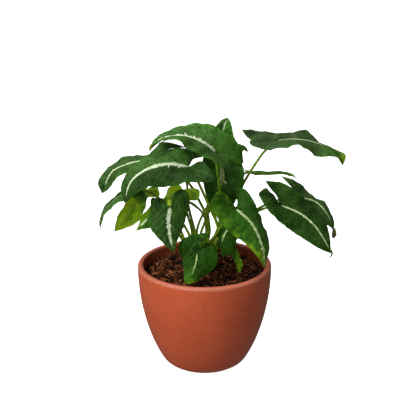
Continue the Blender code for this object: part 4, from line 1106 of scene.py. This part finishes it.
def clay():
    """Matt clay-red glaze with fine speckles and faint clouds, a painted highlight on the lip and painted
    shade on its top and inside.
    """
    nodes = Nodes("clay_red", Specular_IOR_Level=0.35)
    right, back, height = nodes.split(nodes.place())
    reach = nodes.math("SQRT", right * right + back * back)
    # Painted highlight: a paler band round the lip's outer round, for the light it reflects.
    lip = nodes.ease(height, 0.1042, 0.1062) * nodes.ease(height, 0.1082, 0.1074, 0.3, 0.6)
    # Painted shade: the inner wall above the soil is darkened.
    inside = nodes.ease(reach, 0.0630, 0.0620) * nodes.ease(height, 0.084, 0.090)
    # Painted shade: the inner half of the lip's flat top is darker.
    lip_top_shade = nodes.ease(reach, 0.0658, 0.0645) * nodes.ease(height, 0.1040, 0.1065)
    colour = nodes.fade(nodes.noise(22.0, 4.0), 0.3, 0.7, (0.590, 0.100, 0.033), (0.650, 0.115, 0.042))
    colour = nodes.mix(lip, colour, (0.600, 0.240, 0.160))
    colour = nodes.mix(inside * 0.75, colour, (0.150, 0.028, 0.010))
    colour = nodes.mix(lip_top_shade * 0.3, colour, (0.340, 0.085, 0.040))
    grain = nodes.noise(780.0)
    colour = nodes.fade(grain, 0.50, 0.70, colour, (0.330, 0.048, 0.014), 0.5)
    moved = nodes.add("Mapping", Vector=nodes.place(), Location=(0.3, 0.1, 0.7)).outputs["Vector"]
    colour = nodes.fade(nodes.noise(620.0, vector=moved), 0.56, 0.74, colour, (0.740, 0.210, 0.095), 0.4)
    return nodes.finish(colour, nodes.ease(grain, 0.3, 0.7, 0.40, 0.56), grain + nodes.noise(260.0), 0.0001)


def coir():
    """Dark peat with brown crumbs and lighter fibres."""
    nodes = Nodes("coir_soil", Specular_IOR_Level=0.2)
    tone, _, _ = nodes.attribute("tone")
    level = tone + nodes.ease(nodes.noise(700.0, 4.0), 0.3, 0.7, -0.30, 0.28)
    level = level + nodes.ease(nodes.noise(110.0, 2.0), 0.35, 0.65, -0.22, 0.20)
    colour = nodes.fade(level, 0.05, 0.45, (0.0025, 0.0009, 0.0006), (0.082, 0.021, 0.006))
    colour = nodes.fade(level, 0.40, 1.00, colour, (0.570, 0.182, 0.058))
    colour = nodes.fade(level, 1.15, 1.35, colour, (0.600, 0.360, 0.210))
    return nodes.finish(colour, 0.95, nodes.noise(1600.0, 4.0), 0.0008)


# Stage

def add_area_light(name, place, target, size, power):
    """A square soft light aimed at a point; places in metres."""
    lamp = bpy.data.lights.new(name, "AREA")
    lamp.size = size
    lamp.energy = power
    holder = bpy.data.objects.new(name, lamp)
    holder.location = place
    aim = np.array(target) - np.array(place)
    across = np.hypot(aim[0], aim[1])
    holder.rotation_euler = (np.arctan2(across, -aim[2]), 0.0, np.arctan2(-aim[0], aim[1]))
    bpy.context.scene.collection.objects.link(holder)


def build_stage():
    """A plain white floor, a white surround and soft lights from the upper left."""
    reach = FLOOR_REACH / MM
    corners = ((-reach, -reach), (reach, -reach), (reach, reach), (-reach, reach))
    floor = make_object("floor", [(x, y, -GAP) for x, y in corners], [(0, 1, 2, 3)])
    white = Nodes("floor_white", Roughness=1.0, Specular_IOR_Level=0.0, Base_Color=(0.9, 0.9, 0.9, 1.0))
    white.glow((1.0, 1.0, 1.0, 1.0), 0.95)
    floor.data.materials.append(white.material)
    floor.visible_diffuse = False
    floor.visible_glossy = False
    world = bpy.data.worlds.new("surround")
    world.use_nodes = True
    surround = world.node_tree.nodes["Background"].inputs
    surround["Color"].default_value = (1.0, 1.0, 1.0, 1.0)
    surround["Strength"].default_value = 0.18
    bpy.context.scene.world = world
    bpy.context.scene.view_settings.view_transform = "Standard"
    for light in LIGHTS:
        add_area_light(*light)


def build_camera():
    """The photograph's view."""
    lens = bpy.data.cameras.new("view")
    lens.sensor_fit = "HORIZONTAL"
    lens.sensor_width = SENSOR_WIDTH
    lens.lens = SENSOR_WIDTH * SIGHT_DISTANCE / PICTURE_WIDTH
    lens.clip_start = 0.1
    lens.clip_end = 50.0
    camera = bpy.data.objects.new("view", lens)
    camera.location = EYE * MM
    camera.rotation_euler = (pi / 2 - SIGHT_TILT, 0.0, 0.0)
    bpy.context.scene.collection.objects.link(camera)
    bpy.context.scene.camera = camera


def main():
    build_camera()
    build_stage()
    build_pot()
    build_soil()
    build_stems()
    for leaf in LEAVES:
        build_leaf(leaf)
    for curl in CURLS:
        build_curl(curl)


main()
